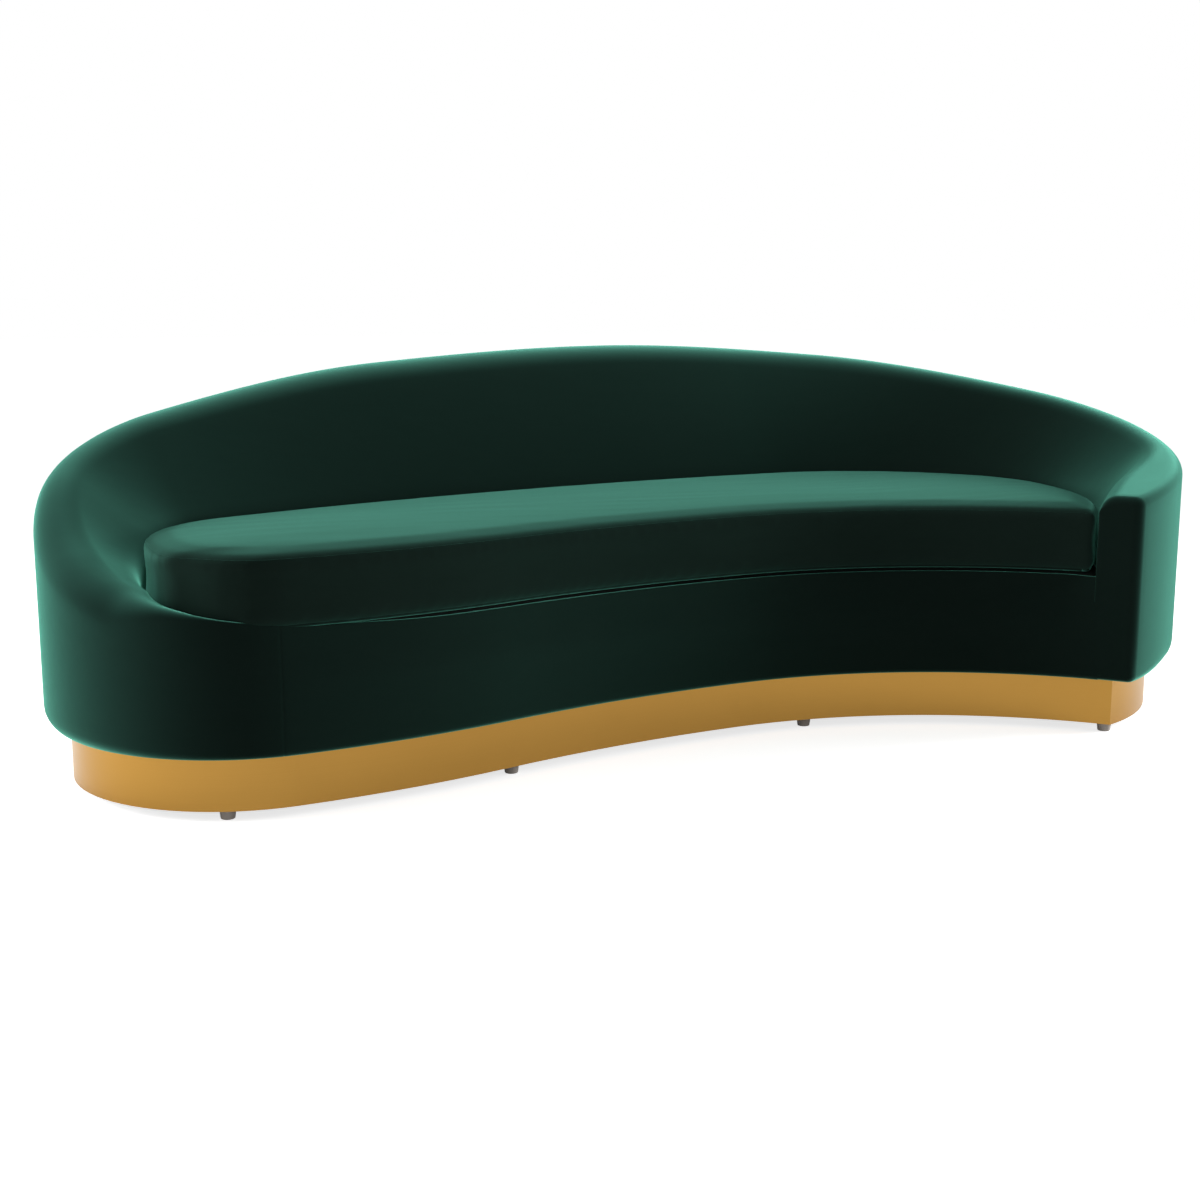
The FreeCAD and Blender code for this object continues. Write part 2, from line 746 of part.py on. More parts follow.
def make_springs(front_inset, wall_inset):
    """Sinuous springs from the front rail to the rear rail, each end held in a folded clip."""
    radius = size("spring_bend_radius")
    half_leg = size("spring_leg") / 2
    wire = size("wire_diameter") / 2
    level = size("rail_top") + size("clip_thickness") + wire + size("clip_play")
    front_line = well_path(0, front_inset)
    rear_line = well_path(wall_inset, 0)
    springs = []
    clips = []
    for x in SPRING_PLACES:
        low = front_of(x, front_line)
        high = rear_of(x, rear_line)
        turns = int((high - low) / (2 * radius))
        first = (low + high) / 2 - turns * radius
        path = []
        for i in range(turns):
            y = first + 2 * radius * i
            side = 1 if i % 2 == 0 else -1
            leg_start = Vector(x - side * half_leg, y, level)
            leg_end = Vector(x + side * half_leg, y, level)
            path.append(Part.LineSegment(leg_start, leg_end).toShape())
            outside = leg_end + Vector(side * radius, radius, 0)
            path.append(Part.Arc(leg_end, outside, leg_end + Vector(0, 2 * radius, 0)).toShape())
        side = 1 if turns % 2 == 0 else -1
        last = first + 2 * radius * turns
        path.append(Part.LineSegment(Vector(x - side * half_leg, last, level),
                                     Vector(x + side * half_leg, last, level)).toShape())
        ring = Part.Wire(Part.Circle(Vector(x - half_leg, first, level), Vector(1, 0, 0), wire).toShape())
        springs.append(Part.Wire(path).makePipeShell([ring], True, False))
        clips.append(clip(Vector(x, first, 0), -1))
        clips.append(clip(Vector(x, last, 0), 1))
    solid("springs", Part.makeCompound(springs))
    solid("spring_clips", Part.makeCompound(clips))


def clip(place, side):
    """A strip folded into a U round the end leg of a spring, open towards the seat."""
    thickness = size("clip_thickness")
    depth = size("clip_depth")
    bottom = size("rail_top")
    room = size("wire_diameter") + 2 * size("clip_play")
    top = bottom + 2 * thickness + room
    reach_in = size("clip_grip")
    fold = side * (depth - reach_in)
    profile = [(-side * reach_in, bottom), (fold, bottom), (fold, top), (-side * reach_in, top),
               (-side * reach_in, top - thickness), (fold - side * thickness, top - thickness),
               (fold - side * thickness, bottom + thickness), (-side * reach_in, bottom + thickness)]
    left = place.x - size("clip_width") / 2
    points = [Vector(left, place.y + y, z) for y, z in profile]
    face = Part.Face(Part.makePolygon(points + points[:1]))
    return face.extrude(Vector(size("clip_width"), 0, 0))


# Back frame

BACK_RIBS = (200, 500, 900, 1350, 1800, 2300, 2800, 3250)
LOW_RIBS = (3500, 3700)
ARM_FACE = 16.0
TALL_END = 3400.0
BOARD_SETBACK = 20.0
RIB_BEHIND_PAD = 7.0


def panel_top(rim):
    """Top of the bent panel, which stays above the seat frame where the wall runs low."""
    lowest = size("pad_bottom") + size("panel_thickness")
    return max(rim - size("top_pad") - size("top_rail_height") - 2 * size("fit_gap"), lowest)


def wood_bottom():
    return size("shell_bottom") + size("tuck_gap") + size("plinth_board")


def slope_at(line, lean, height):
    """Where a leaning line through a kink reaches a height."""
    return line[0] - (height - line[1]) * math.tan(lean)


def panel_face():
    """Depth of the bent panel's outer face below the wall's surface."""
    return size("wadding_depth") + size("fit_gap")


def behind_panel():
    return panel_face() + size("panel_thickness") + size("fit_gap")


def rail_reach(origin, inward):
    """How far a board may run inwards before it meets the rear rail."""
    return reach(origin, inward, well_path(-size("rear_rail_back"), 0)) - size("fit_gap")


def shelf_bottom():
    return size("pad_bottom") - 2 * size("fit_gap") - size("shelf_thickness")


def panel_profile(at, distance):
    outer = panel_face()
    inner = outer + size("panel_thickness")
    bottom = wood_bottom() + size("tuck_gap")
    top = panel_top(at.rim)
    return section(at, (outer, bottom), [((outer, top),), ((inner, top),), ((inner, bottom),)])


def rail_profile(at, distance):
    outer = panel_face()
    inner = outer + size("top_rail_depth")
    top = at.rim - size("top_pad") - size("fit_gap")
    bottom = top - size("top_rail_height") + size("fit_gap")
    return section(at, (outer, bottom), [((outer, top),), ((inner, top),), ((inner, bottom),)])


def shelf_profile(at, distance):
    outer = behind_panel()
    inner = max(rail_reach(at.origin, at.inward), outer + size("panel_thickness"))
    bottom = shelf_bottom()
    top = bottom + size("shelf_thickness")
    return section(at, (outer, bottom), [((outer, top),), ((inner, top),), ((inner, bottom),)])


def rib(label, distance, top_limit=None):
    """An upright board across the wall, cut to the lean of the back."""
    at = station(distance)
    half = size("board_thickness") / 2
    along = at.inward.cross(UP)
    lean = contour(at, 0)["lean"]
    outer = behind_panel()
    foot_line = min(rail_reach(at.origin + along * (half * side), at.inward) for side in (-1, 1))
    inner = at.depth - size("pad_thickness") - RIB_BEHIND_PAD
    bottom = wood_bottom()
    if top_limit:
        outline = [((outer, top_limit),), ((foot_line, top_limit),), ((foot_line, bottom),)]
    else:
        slope = abs(rim_height(distance + half) - rim_height(distance - half)) / 2
        top = panel_top(at.rim) - slope - size("fit_gap")
        kink = (inner, contour(at, size("pad_thickness"))["kink"][1] - RIB_BEHIND_PAD)
        outline = [((outer, top),), ((slope_at(kink, lean, top), top),), (kink,),
                   ((inner, size("rail_top")),), ((foot_line, size("rail_top")),), ((foot_line, bottom),)]
    face = upright_face(at, (outer, bottom), outline)
    face.translate(along * -half)
    return solid(label, face.extrude(along * (2 * half)))


def make_back_frame():
    for i, distance in enumerate(BACK_RIBS, start=1):
        rib(f"back_rib_{i}", distance)
    for i, distance in enumerate(LOW_RIBS, start=len(BACK_RIBS) + 1):
        rib(f"back_rib_{i}", distance, shelf_bottom() - size("fit_gap"))
    loft("top_rail", ARM_FACE + BOARD_SETBACK, TALL_END - size("panel_thickness"), rail_profile)
    loft("outer_panel", ARM_FACE + BOARD_SETBACK, WALL_END, panel_profile)
    loft("end_shelf", TALL_END + BOARD_SETBACK, WALL_END - 2 * BOARD_SETBACK, shelf_profile)
    at = station(ARM_FACE)
    bottom = wood_bottom() + size("fit_gap")
    top = at.rim - size("top_pad") - 3 * size("fit_gap")
    left = behind_panel()
    right = at.depth - size("pad_thickness") - 2 * size("fit_gap")
    face = upright_face(at, (left, bottom), [((left, top),), ((right, top),), ((right, bottom),)])
    along = at.inward.cross(UP)
    back = along * (size("board_thickness") if along.dot(ahead(at.heading)) > 0 else -size("board_thickness"))
    solid("arm_front_board", face.extrude(back))


# Padding

SKIN_SHARE = 0.6
FOAM_JOINTS = (450.0, 1470.0, 2550.0)
FRONT_FOAM_START = WALL_END + 15.0
EDGE_ROLL_START = WALL_END + 30.0
EDGE_END = 112.0
ARM_BLOCK_HALF = 60.0


def pad_profile(at, distance):
    """Foam over the rim and down the inside, hollow where the frame stands."""
    skin = size("pad_skin")
    line = contour(at, skin)
    frame = contour(at, size("pad_thickness"))
    shoulder = at.rim - size("top_pad")
    outer = size("wadding_depth")
    step_level = panel_top(at.rim) + size("fit_gap")
    return section(at, (skin, step_level), [
        (line["wall_top"],), (line["roll_middle"], line["roll_top"]), (line["brow_top"],),
        (line["brow_middle"], line["brow_end"]), (line["kink"],), ((at.depth - skin, size("pad_bottom")),),
        ((frame["kink"][0], size("pad_bottom")),), (frame["kink"],),
        ((slope_at(frame["kink"], frame["lean"], shoulder), shoulder),), ((outer, shoulder),),
        ((outer, step_level),)])


def end_profile(at, distance):
    """Solid foam where the wall runs down to the seat."""
    skin = min(size("pad_skin"), at.roll * SKIN_SHARE)
    line = contour(at, skin)
    behind = behind_panel()
    step_level = panel_top(at.rim) + size("fit_gap")
    inner = max(at.depth - size("pad_skin"), behind + 2 * size("fit_gap"))
    return section(at, (skin, step_level), [
        (line["wall_top"],), (line["roll_middle"], line["roll_top"]), (line["brow_top"],),
        (line["brow_middle"], line["brow_end"]), ((inner, line["kink"][1]),), ((inner, size("pad_bottom")),),
        ((behind, size("pad_bottom")),), ((behind, step_level),)])


def wadding_profile(at, distance):
    """Soft filling behind the outside cover, which follows the tuck round under the shell."""
    skin = size("pad_skin")
    tuck = tuck_radius(distance)
    level = size("shell_bottom") + tuck
    half, quarter = ((tuck - (tuck - skin) * math.cos(angle), level - (tuck - skin) * math.sin(angle))
                     for angle in (math.pi / 4, math.pi / 8))
    top = panel_top(at.rim) - size("fit_gap")
    inner = size("wadding_depth")
    low = max(half[1], wood_bottom()) + size("fit_gap")
    return section(at, half, [(quarter, (skin, level)), ((skin, top),), ((inner, top),), ((inner, low),)])


def arm_prism(skin, bottom):
    """The arm's front, seen square on, as a block through the arm's end."""
    at = station(0)
    line = contour(at, skin)
    inner = at.depth - skin
    edges = section(at, (skin, bottom), [
        (line["wall_top"],), (line["roll_middle"], line["roll_top"]), (line["brow_top"],),
        (line["brow_middle"], line["brow_end"]), ((inner, bottom),)])
    face = polygon(corners(edges))
    along = at.inward.cross(UP)
    face.translate(along * -ARM_BLOCK_HALF)
    return face.extrude(along * (2 * ARM_BLOCK_HALF))


def make_padding():
    labels = ("arm_foam", "back_foam_right", "back_foam_middle", "back_foam_left")
    joints = (ARM_FACE,) + FOAM_JOINTS + (TALL_END,)
    for label, first, last in zip(labels, joints, joints[1:]):
        loft(label, first, last, pad_profile)
    loft("end_foam", TALL_END, WALL_END, end_profile)
    loft("outside_wadding", ARM_FACE, WALL_END, wadding_profile)
    skin = size("pad_skin")
    face_back = size("front_rail_inset") - size("fit_gap")
    low = size("shell_bottom") + size("front_tuck_radius") + size("cover_thickness")
    top = size("deck_top") - size("cover_thickness") - size("fit_gap")
    strip = band(front_strip(skin, FRONT_FOAM_START, skin), front_strip(face_back, FRONT_FOAM_START, skin))
    lower = Part.Face(wire_of(strip, low)).extrude(UP * (top - low))
    arm_strip = Part.Face(wire_of(strip, top)).extrude(UP * (size("rim_at_arm") - top))
    solid("front_foam", lower.fuse(arm_strip.common(arm_prism(skin, top))).removeSplitter())
    edge_outer = front_strip(size("front_rail_inset"), EDGE_ROLL_START, EDGE_END)
    edge_inner = front_strip(size("front_edge_depth"), EDGE_ROLL_START, EDGE_END)
    plate("front_edge_roll", [band(edge_outer, edge_inner)], "sizes.deck_bottom",
          "sizes.deck_top - sizes.deck_bottom - sizes.cover_thickness - sizes.fit_gap")


# Covers

COVER_START = 4.5
TAIL_LENGTH = 9.0
THIN_SHARE = 0.4
ARM_FOOT_RISE = 28.0


def outside_profile(at, distance):
    """Velvet from the tuck under the shell, up the wall and over to the top of the rim."""
    cloth = size("cover_thickness")
    outer = contour(at, 0)
    inner = contour(at, cloth)
    bottom = size("shell_bottom")
    tuck = tuck_radius(distance)
    tail = tuck + TAIL_LENGTH
    tilt = 1 - math.sqrt(0.5)
    turn = (tuck - cloth) * math.sqrt(0.5)
    return section(at, (tail, bottom), [
        ((tuck, bottom),), ((tuck * tilt, bottom + tuck * tilt), (0, bottom + tuck)), (outer["wall_top"],),
        (outer["roll_middle"], outer["roll_top"]), (inner["roll_top"],),
        (inner["roll_middle"], inner["wall_top"]), ((cloth, bottom + tuck),),
        ((tuck - turn, bottom + tuck - turn), (tuck, bottom + cloth)),
        ((tail, bottom + cloth),)])


def inside_profile(at, distance):
    """Velvet from the top of the rim down the inside into the well."""
    cloth = min(size("cover_thickness"), at.roll * THIN_SHARE)
    outer = contour(at, 0)
    inner = contour(at, cloth)
    foot_level = size("pad_bottom") + size("fit_gap") + (ARM_FOOT_RISE if distance < ARM_FACE else 0)
    return section(at, outer["roll_top"], [
        (outer["brow_top"],), (outer["brow_middle"], outer["brow_end"]), (outer["kink"],),
        ((at.depth, foot_level),), ((at.depth - cloth, foot_level),), (inner["kink"],), (inner["brow_end"],),
        (inner["brow_middle"], inner["brow_top"]), (inner["roll_top"],)])


def make_covers():
    cloth = size("cover_thickness")
    loft("outside_cover", COVER_START, SEAM, outside_profile)
    loft("inside_cover", COVER_START, WALL_END, inside_profile)
    bottom = size("shell_bottom")
    top = size("deck_top")
    start = SEAM + size("fit_gap")
    strip = band(front_strip(0, start, 0), front_strip(cloth, start, 0))
    lower = Part.Face(wire_of(strip, bottom)).extrude(UP * (top - bottom))
    arm = Part.Face(wire_of(strip, top)).extrude(UP * (size("rim_at_arm") - top)).common(arm_prism(0, top))
    flap_path = band(front_strip(0, start, EDGE_END), front_strip(size("front_edge_depth"), start, EDGE_END))
    flap = Part.Face(wire_of(flap_path, top - cloth)).extrude(UP * cloth)
    solid("front_cover", lower.fuse([arm, flap]).removeSplitter())


# Cushion

SEAM_SHARE = 0.3
BEYOND = 3000.0
CORE_CLEARANCE = 0.5


def cushion_level(height, inward):
    """The cushion's outline at a level, drawn in from its place in the well."""
    return wire_of(well_path(size("cushion_side_gap") + inward, size("cushion_front_gap") + inward), height)


def cushion_body(skin):
    """A crowned block with rounded edges and sides drawn in between the seams, a depth below its cover."""
    bottom = size("cushion_bottom") + skin
    top = size("seat_height") - skin
    crown = size("crown_height") - skin
    crown_inset = size("crown_inset")
    rounding = size("edge_round")
    middle = (bottom + top) / 2
    quarter = [math.radians(angle) for angle in (0, 30, 60, 90)]
    edge = [(rounding * (1 - math.sin(angle)), rounding * (1 - math.cos(angle))) for angle in quarter]
    draw = size("boxing_draw")
    levels = [(bottom + rise, inward) for inward, rise in edge]
    levels += [(middle + (top - bottom) * share, draw * keep_in)
               for share, keep_in in ((-0.2, 0.75), (0, 1), (0.2, 0.75))]
    levels += [(top - rise, inward) for inward, rise in reversed(edge)]
    levels += [(top + (crown - top) * math.sin(share * math.pi / 2),
                rounding + (crown_inset - rounding) * share) for share in (1 / 3, 2 / 3, 1)]
    return Part.makeLoft([cushion_level(height, inward + skin) for height, inward in levels], True, True)


def make_cushion():
    cloth = size("cushion_cloth")
    rounding = size("edge_round")
    outer = cushion_body(0)
    shell = outer.cut(cushion_body(cloth))
    lower_seam = size("cushion_bottom") + SEAM_SHARE * rounding
    upper_seam = size("seat_height") - SEAM_SHARE * rounding
    corner = Vector(-BEYOND / 2, -BEYOND / 2, 0)
    below = Part.makeBox(BEYOND, BEYOND, lower_seam, corner)
    between = Part.makeBox(BEYOND, BEYOND, upper_seam - lower_seam, corner + UP * lower_seam)
    above = Part.makeBox(BEYOND, BEYOND, BEYOND, corner + UP * upper_seam)
    solid("cushion_bottom_panel", shell.common(below))
    solid("cushion_boxing", shell.common(between))
    solid("cushion_top_panel", shell.common(above))
    solid("cushion_core", cushion_body(cloth + CORE_CLEARANCE))


ZIP_START = 187.0
SLIDER_PLACE = 187.5
ZIP_STANDS_OUT = 1.2
SLIDER_CLEARANCE = 0.3


def rear_arc(gap, first, last):
    """A stretch of the cushion's rear arc between two headings."""
    bend = inset(back_inner, gap)
    ends = [bend.centre - left_of(math.radians(heading)) * bend.radius for heading in (first, last)]
    return [Step(bend, *ends)]


def make_zip():
    middle = (size("cushion_bottom") + size("seat_height")) / 2
    face = size("cushion_side_gap") + size("boxing_draw") - ZIP_STANDS_OUT
    tape = band(rear_arc(face - size("zip_thickness"), ZIP_START, ZIP_START + size("zip_sweep")),
                rear_arc(face, ZIP_START, ZIP_START + size("zip_sweep")))
    tape_face = Part.Face(wire_of(tape, middle - size("zip_height") / 2))
    solid("zip_tape", tape_face.extrude(UP * size("zip_height")))
    top = face - size("zip_thickness") - SLIDER_CLEARANCE
    half_angle = math.degrees(size("slider_length") / 2 / back_inner.radius)
    span = (SLIDER_PLACE - half_angle, SLIDER_PLACE + half_angle)
    slider = band(rear_arc(top - size("slider_thickness"), *span), rear_arc(top, *span))
    plate("zip_slider", [slider], "(sizes.cushion_bottom + sizes.seat_height - sizes.slider_height) / 2",
          "sizes.slider_height")


# Check and write

def check():
    for item in doc.Objects:
        if "Invalid" in item.State or "Error" in item.State:
            raise RuntimeError(f"{item.Label} did not build: {item.State}")
    for item in parts:
        if item.Shape.isNull() or not item.Shape.isValid() or item.Shape.Volume <= 0:
            raise RuntimeError(f"{item.Label} has no valid shape")


def write():
    os.makedirs("parts", exist_ok=True)
    for item in parts:
        item.Shape.exportStep(f"parts/{item.Label}.step")
        print(f"{item.Label}: {item.Shape.Volume / 1000:.1f} cm3, {len(item.Shape.Solids)} solid")


make_plinth()
make_seat()
make_back_frame()
make_padding()
make_covers()
make_cushion()
make_zip()
doc.recompute()
check()
write()
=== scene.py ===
import cmath
import math
from collections import namedtuple

import bmesh
import bpy
from mathutils import Matrix, Vector, noise
from mathutils.bvhtree import BVHTree


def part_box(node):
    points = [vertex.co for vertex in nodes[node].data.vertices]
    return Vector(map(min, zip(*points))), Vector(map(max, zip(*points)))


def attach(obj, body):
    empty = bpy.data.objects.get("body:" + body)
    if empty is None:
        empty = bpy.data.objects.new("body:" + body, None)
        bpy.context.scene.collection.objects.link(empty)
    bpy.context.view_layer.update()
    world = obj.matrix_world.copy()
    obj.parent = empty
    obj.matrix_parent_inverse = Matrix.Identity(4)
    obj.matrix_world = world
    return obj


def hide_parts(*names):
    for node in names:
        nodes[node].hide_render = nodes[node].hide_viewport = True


# Looks of a curved sofa: a velvet shell on a kidney-shaped plan, a loose seat cushion and a gold plinth.
# Metres, +Z up, the front towards -Y. Points of the plan are complex numbers, x + y * 1j.

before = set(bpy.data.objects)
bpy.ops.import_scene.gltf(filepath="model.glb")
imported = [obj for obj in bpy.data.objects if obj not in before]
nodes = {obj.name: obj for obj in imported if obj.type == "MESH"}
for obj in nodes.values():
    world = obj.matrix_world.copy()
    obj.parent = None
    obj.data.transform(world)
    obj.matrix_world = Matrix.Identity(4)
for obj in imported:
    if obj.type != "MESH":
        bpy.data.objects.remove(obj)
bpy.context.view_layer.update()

Bend = namedtuple("Bend", "centre radius side")
Step = namedtuple("Step", "bend start end")
Station = namedtuple(
    "Station", "origin inward rim depth roll brow brow_start kink tuck flange foot flap lean")

# Plan of the shell: tangent arcs, each a radius and a turn, from the sharp right front corner round the back
CORNER = 0.8390 - 0.5406j
WALL_HEADING = math.radians(21.1)
WALL_TURNS = [(0.510, 100.4), (0.710, 64.5), (4.120, 20.1), (0.346, 161.2), (1.770, 13.4), (2.300, -13.1)]
LEFT_END = 3
WALL_DEPTH = 0.207
ARM_WIDTH = 0.080
ARM_SIDE_RADIUS = 0.640
WELL_LEFT_HEADING = math.radians(205.8)
WELL_LEFT_TURNS = [(0.235, 62.4), (0.900, 7.0)]
WELL_FRONT_RADIUS = 0.160

# Levels
SHELL_BOTTOM = 0.112
DECK_TOP = 0.322
CUSHION_BOTTOM = 0.324
SEAT_HEIGHT = 0.450
FRONT_LIP = 0.318

# Height of the rim at distances round the wall from the right front corner
RIM = [(0, 0.475), (0.450, 0.553), (0.900, 0.638), (1.450, 0.715), (2.000, 0.743), (2.600, 0.717),
       (3.100, 0.638), (3.400, 0.545), (3.640, 0.436), (3.860, 0.370), (4.112, 0.331), (4.420, FRONT_LIP)]
ARM_END = 0.450
END_START = 3.300
WALL_END = 3.890
LIP_START = 3.800
SEAM = 4.087


# Plan geometry

NEAREST_HIT = 0.001
SLACK = 1e-6


def ahead(angle):
    """A step of length one at a heading."""
    return cmath.rect(1, angle)


def left_of(angle):
    """A step of length one, square to the left of a heading."""
    return 1j * ahead(angle)


def walk(point, heading, turns):
    """Arcs, each a radius and a turn to the left in degrees, laid one after another; also where they end."""
    bends = []
    for radius, degrees in turns:
        side = math.copysign(1, degrees)
        centre = point + left_of(heading) * side * radius
        bends.append(Bend(centre, radius, side))
        heading += math.radians(degrees)
        point = centre - left_of(heading) * side * radius
    return bends, point, heading


def inset(bend, distance):
    """The same arc moved towards the inside of the plan."""
    return Bend(bend.centre, bend.radius - bend.side * distance, bend.side)


def crossing(first, second, near):
    """The point where two circles cross, on the side of another point."""
    between = second.centre - first.centre
    gap = abs(between)
    along = (gap ** 2 + first.radius ** 2 - second.radius ** 2) / (2 * gap)
    rise = math.sqrt(first.radius ** 2 - along ** 2)
    unit = between / gap
    choices = [first.centre + unit * (along + 1j * rise * side) for side in (1, -1)]
    return min(choices, key=lambda choice: abs(choice - near))


def nested(first, second, radius, near):
    """An arc of a given radius inside two larger ones and tangent to both."""
    inner_first = Bend(first.centre, first.radius - radius, 1)
    inner_second = Bend(second.centre, second.radius - radius, 1)
    return Bend(crossing(inner_first, inner_second, near), radius, 1)


def touch(first, second):
    """The point where two tangent arcs of a chain meet."""
    if first.side != second.side:
        along = second.centre - first.centre
        return first.centre + along * (first.radius / abs(along))
    wide, tight = sorted((first, second), key=lambda bend: -bend.radius)
    along = tight.centre - wide.centre
    return wide.centre + along * (wide.radius / abs(along))


def closed_path(bends, corner):
    """Steps round a chain of arcs that starts and ends at a corner."""
    joints = [touch(first, second) for first, second in zip(bends, bends[1:])]
    corner = crossing(bends[-1], bends[0], corner)
    return [Step(*step) for step in zip(bends, [corner] + joints, joints + [corner])]


def sweep_angle(step, point):
    """Angle walked on an arc from its start to a point on it."""
    turned = cmath.phase((point - step.bend.centre) / (step.start - step.bend.centre))
    return (turned * step.bend.side) % (2 * math.pi)


def length_of(path):
    return sum(step.bend.radius * sweep_angle(step, step.end) for step in path)


def along_path(path, distance):
    """The point on a path a distance from its start, and the heading there."""
    for step in path:
        length = step.bend.radius * sweep_angle(step, step.end)
        if distance <= length or step is path[-1]:
            break
        distance -= length
    angle = cmath.phase(step.start - step.bend.centre) + step.bend.side * distance / step.bend.radius
    return step.bend.centre + ahead(angle) * step.bend.radius, angle + step.bend.side * math.pi / 2


def reach(origin, direction, path):
    """How far a ray goes before it meets a path."""
    hits = []
    for step in path:
        offset = origin - step.bend.centre
        half = (offset * direction.conjugate()).real
        inside = half ** 2 - abs(offset) ** 2 + step.bend.radius ** 2
        if inside < 0:
            continue
        for side in (-1, 1):
            distance = -half + side * math.sqrt(inside)
            point = origin + direction * distance
            if distance > NEAREST_HIT and sweep_angle(step, point) <= sweep_angle(step, step.end) + SLACK:
                hits.append(distance)
    return min(hits)


shell_bends, front_end, front_heading = walk(CORNER, WALL_HEADING, WALL_TURNS)
to_corner = CORNER - front_end
closing_radius = abs(to_corner) ** 2 / (-2 * (to_corner * left_of(front_heading).conjugate()).real)
shell_bends.append(Bend(front_end - left_of(front_heading) * closing_radius, closing_radius, -1))
SHELL = closed_path(shell_bends, CORNER)
SHELL_LENGTH = length_of(SHELL)

WELL_CORNER = crossing(Bend(CORNER, ARM_WIDTH, 1), shell_bends[-1], 0)
right_inner = inset(shell_bends[0], WALL_DEPTH)
back_inner = inset(shell_bends[2], WALL_DEPTH)
arm_centre = crossing(Bend(WELL_CORNER, ARM_SIDE_RADIUS, 1),
                      Bend(right_inner.centre, ARM_SIDE_RADIUS - right_inner.radius, 1), 0)
left_start = back_inner.centre - left_of(WELL_LEFT_HEADING) * back_inner.radius
left_bends, tip_end, tip_heading = walk(left_start, WELL_LEFT_HEADING, WELL_LEFT_TURNS)
WELL_WALLS = [Bend(arm_centre, ARM_SIDE_RADIUS, 1), right_inner, inset(shell_bends[1], WALL_DEPTH),
              back_inner] + left_bends


def well_path(wall, front):
    """The well's outline, moved in by one distance along its walls and another along its front."""
    walls = [inset(bend, wall) for bend in WELL_WALLS]
    fronts = [inset(bend, front) for bend in shell_bends[LEFT_END:]]
    radius = WELL_FRONT_RADIUS - (wall + front) / 2
    near = tip_end + left_of(tip_heading) * radius
    return closed_path(walls + [nested(walls[-1], fronts[0], radius, near)] + fronts, WELL_CORNER)


WELL = well_path(0, 0)


def outline(path, count):
    """Evenly spaced points round a closed path, without its corner twice."""
    length = length_of(path)
    return [along_path(path, length * i / count)[0] for i in range(count)]


# The shell's section

def blend(low, high, share):
    """A smooth change from one value to another as share goes from 0 to 1."""
    share = min(max(share, 0), 1)
    return low + (high - low) * share * share * (3 - 2 * share)


def rim_height(distance):
    """Height of the rim: a smooth curve through the heights above that never overshoots them."""
    places, heights = zip(*RIM)
    rises = [(heights[i + 1] - heights[i]) / (places[i + 1] - places[i]) for i in range(len(RIM) - 1)]
    slopes = [rises[0]]
    for before, after in zip(rises, rises[1:]):
        slopes.append(2 * before * after / (before + after) if before * after > 0 else 0)
    slopes.append(0)
    distance = min(max(distance, places[0]), places[-1])
    i = max(k for k in range(len(RIM) - 1) if places[k] <= distance)
    span = places[i + 1] - places[i]
    u = (distance - places[i]) / span
    keep = (1 + 2 * u) * (1 - u) ** 2
    return (heights[i] * keep + heights[i + 1] * (1 - keep)
            + span * u * (1 - u) * (slopes[i] * (1 - u) - slopes[i + 1] * u))


# Rounding of the rim: roll on the outside, brow on the inside, the largest of each as shares of the depth
ARM_ROLL = 0.020
BACK_ROLL = 0.028
END_ROLL = 0.056
LIP_ROLL = 0.0025
MOST_ROLL = 0.55
ARM_BROW = 0.037
BACK_BROW = 0.065
MOST_BROW = 0.4
BROW_ROOM = 0.9
RIM_FLAT = 0.002

# Height of the kink, where the inner wall's slope turns upright, and the front lip
ARM_KINK = 0.400
BACK_KINK = 0.430
END_KINK = 0.376
KINK_CLEAR = 0.014
KINK_RISE = 0.195
KINK_SOFT = 0.030
KINK_SHARE = 0.45
LIP_DEPTH = 0.011
LIP_DROP = 0.004
LIP_FOOT = 0.313
LIP_FLAP = 0.030

# Under the shell: the rounded tuck and the flange behind it; inside the well: the wall's foot and its flap
CORNER_TUCK = 0.014
WALL_TUCK = 0.046
FRONT_TUCK = 0.010
CORNER_TUCK_TO = 0.200
SOFT_TUCK_TO = 3.300
FLANGE_CLEAR = 0.004
WALL_FLANGE = 0.075
FRONT_FLANGE = 0.045
CORNER_FLANGE_TO = 0.120
FRONT_FLANGE_FROM = 3.900
CORNER_FOOT = 0.010
WALL_FOOT = 0.300
WALL_FLAP = 0.002
CAP_GAP = 0.0005

# The arm's front edge, the front panel's lean and the distances over which the section changes
SQUARE_FROM = 0.250
EDGE_ROUND = 0.015
EDGE_BOTTOM = 0.008
FRONT_LEAN = 0.012
LEAN_RISE = 0.090
LEAN_FADE = 0.050
LONG_CHANGE = 0.400
FRONT_CHANGE = 0.12
FOOT_CHANGE = 0.080

# How many points each stretch of the section has
FLANGE_STEPS = 3
TUCK_STEPS = 7
WALL_STEPS = 14
ROLL_STEPS = 8
FLAT_STEPS = 4
BROW_STEPS = 12
SLOPE_STEPS = 12
FOOT_STEPS = 5
FLAP_STEPS = 2


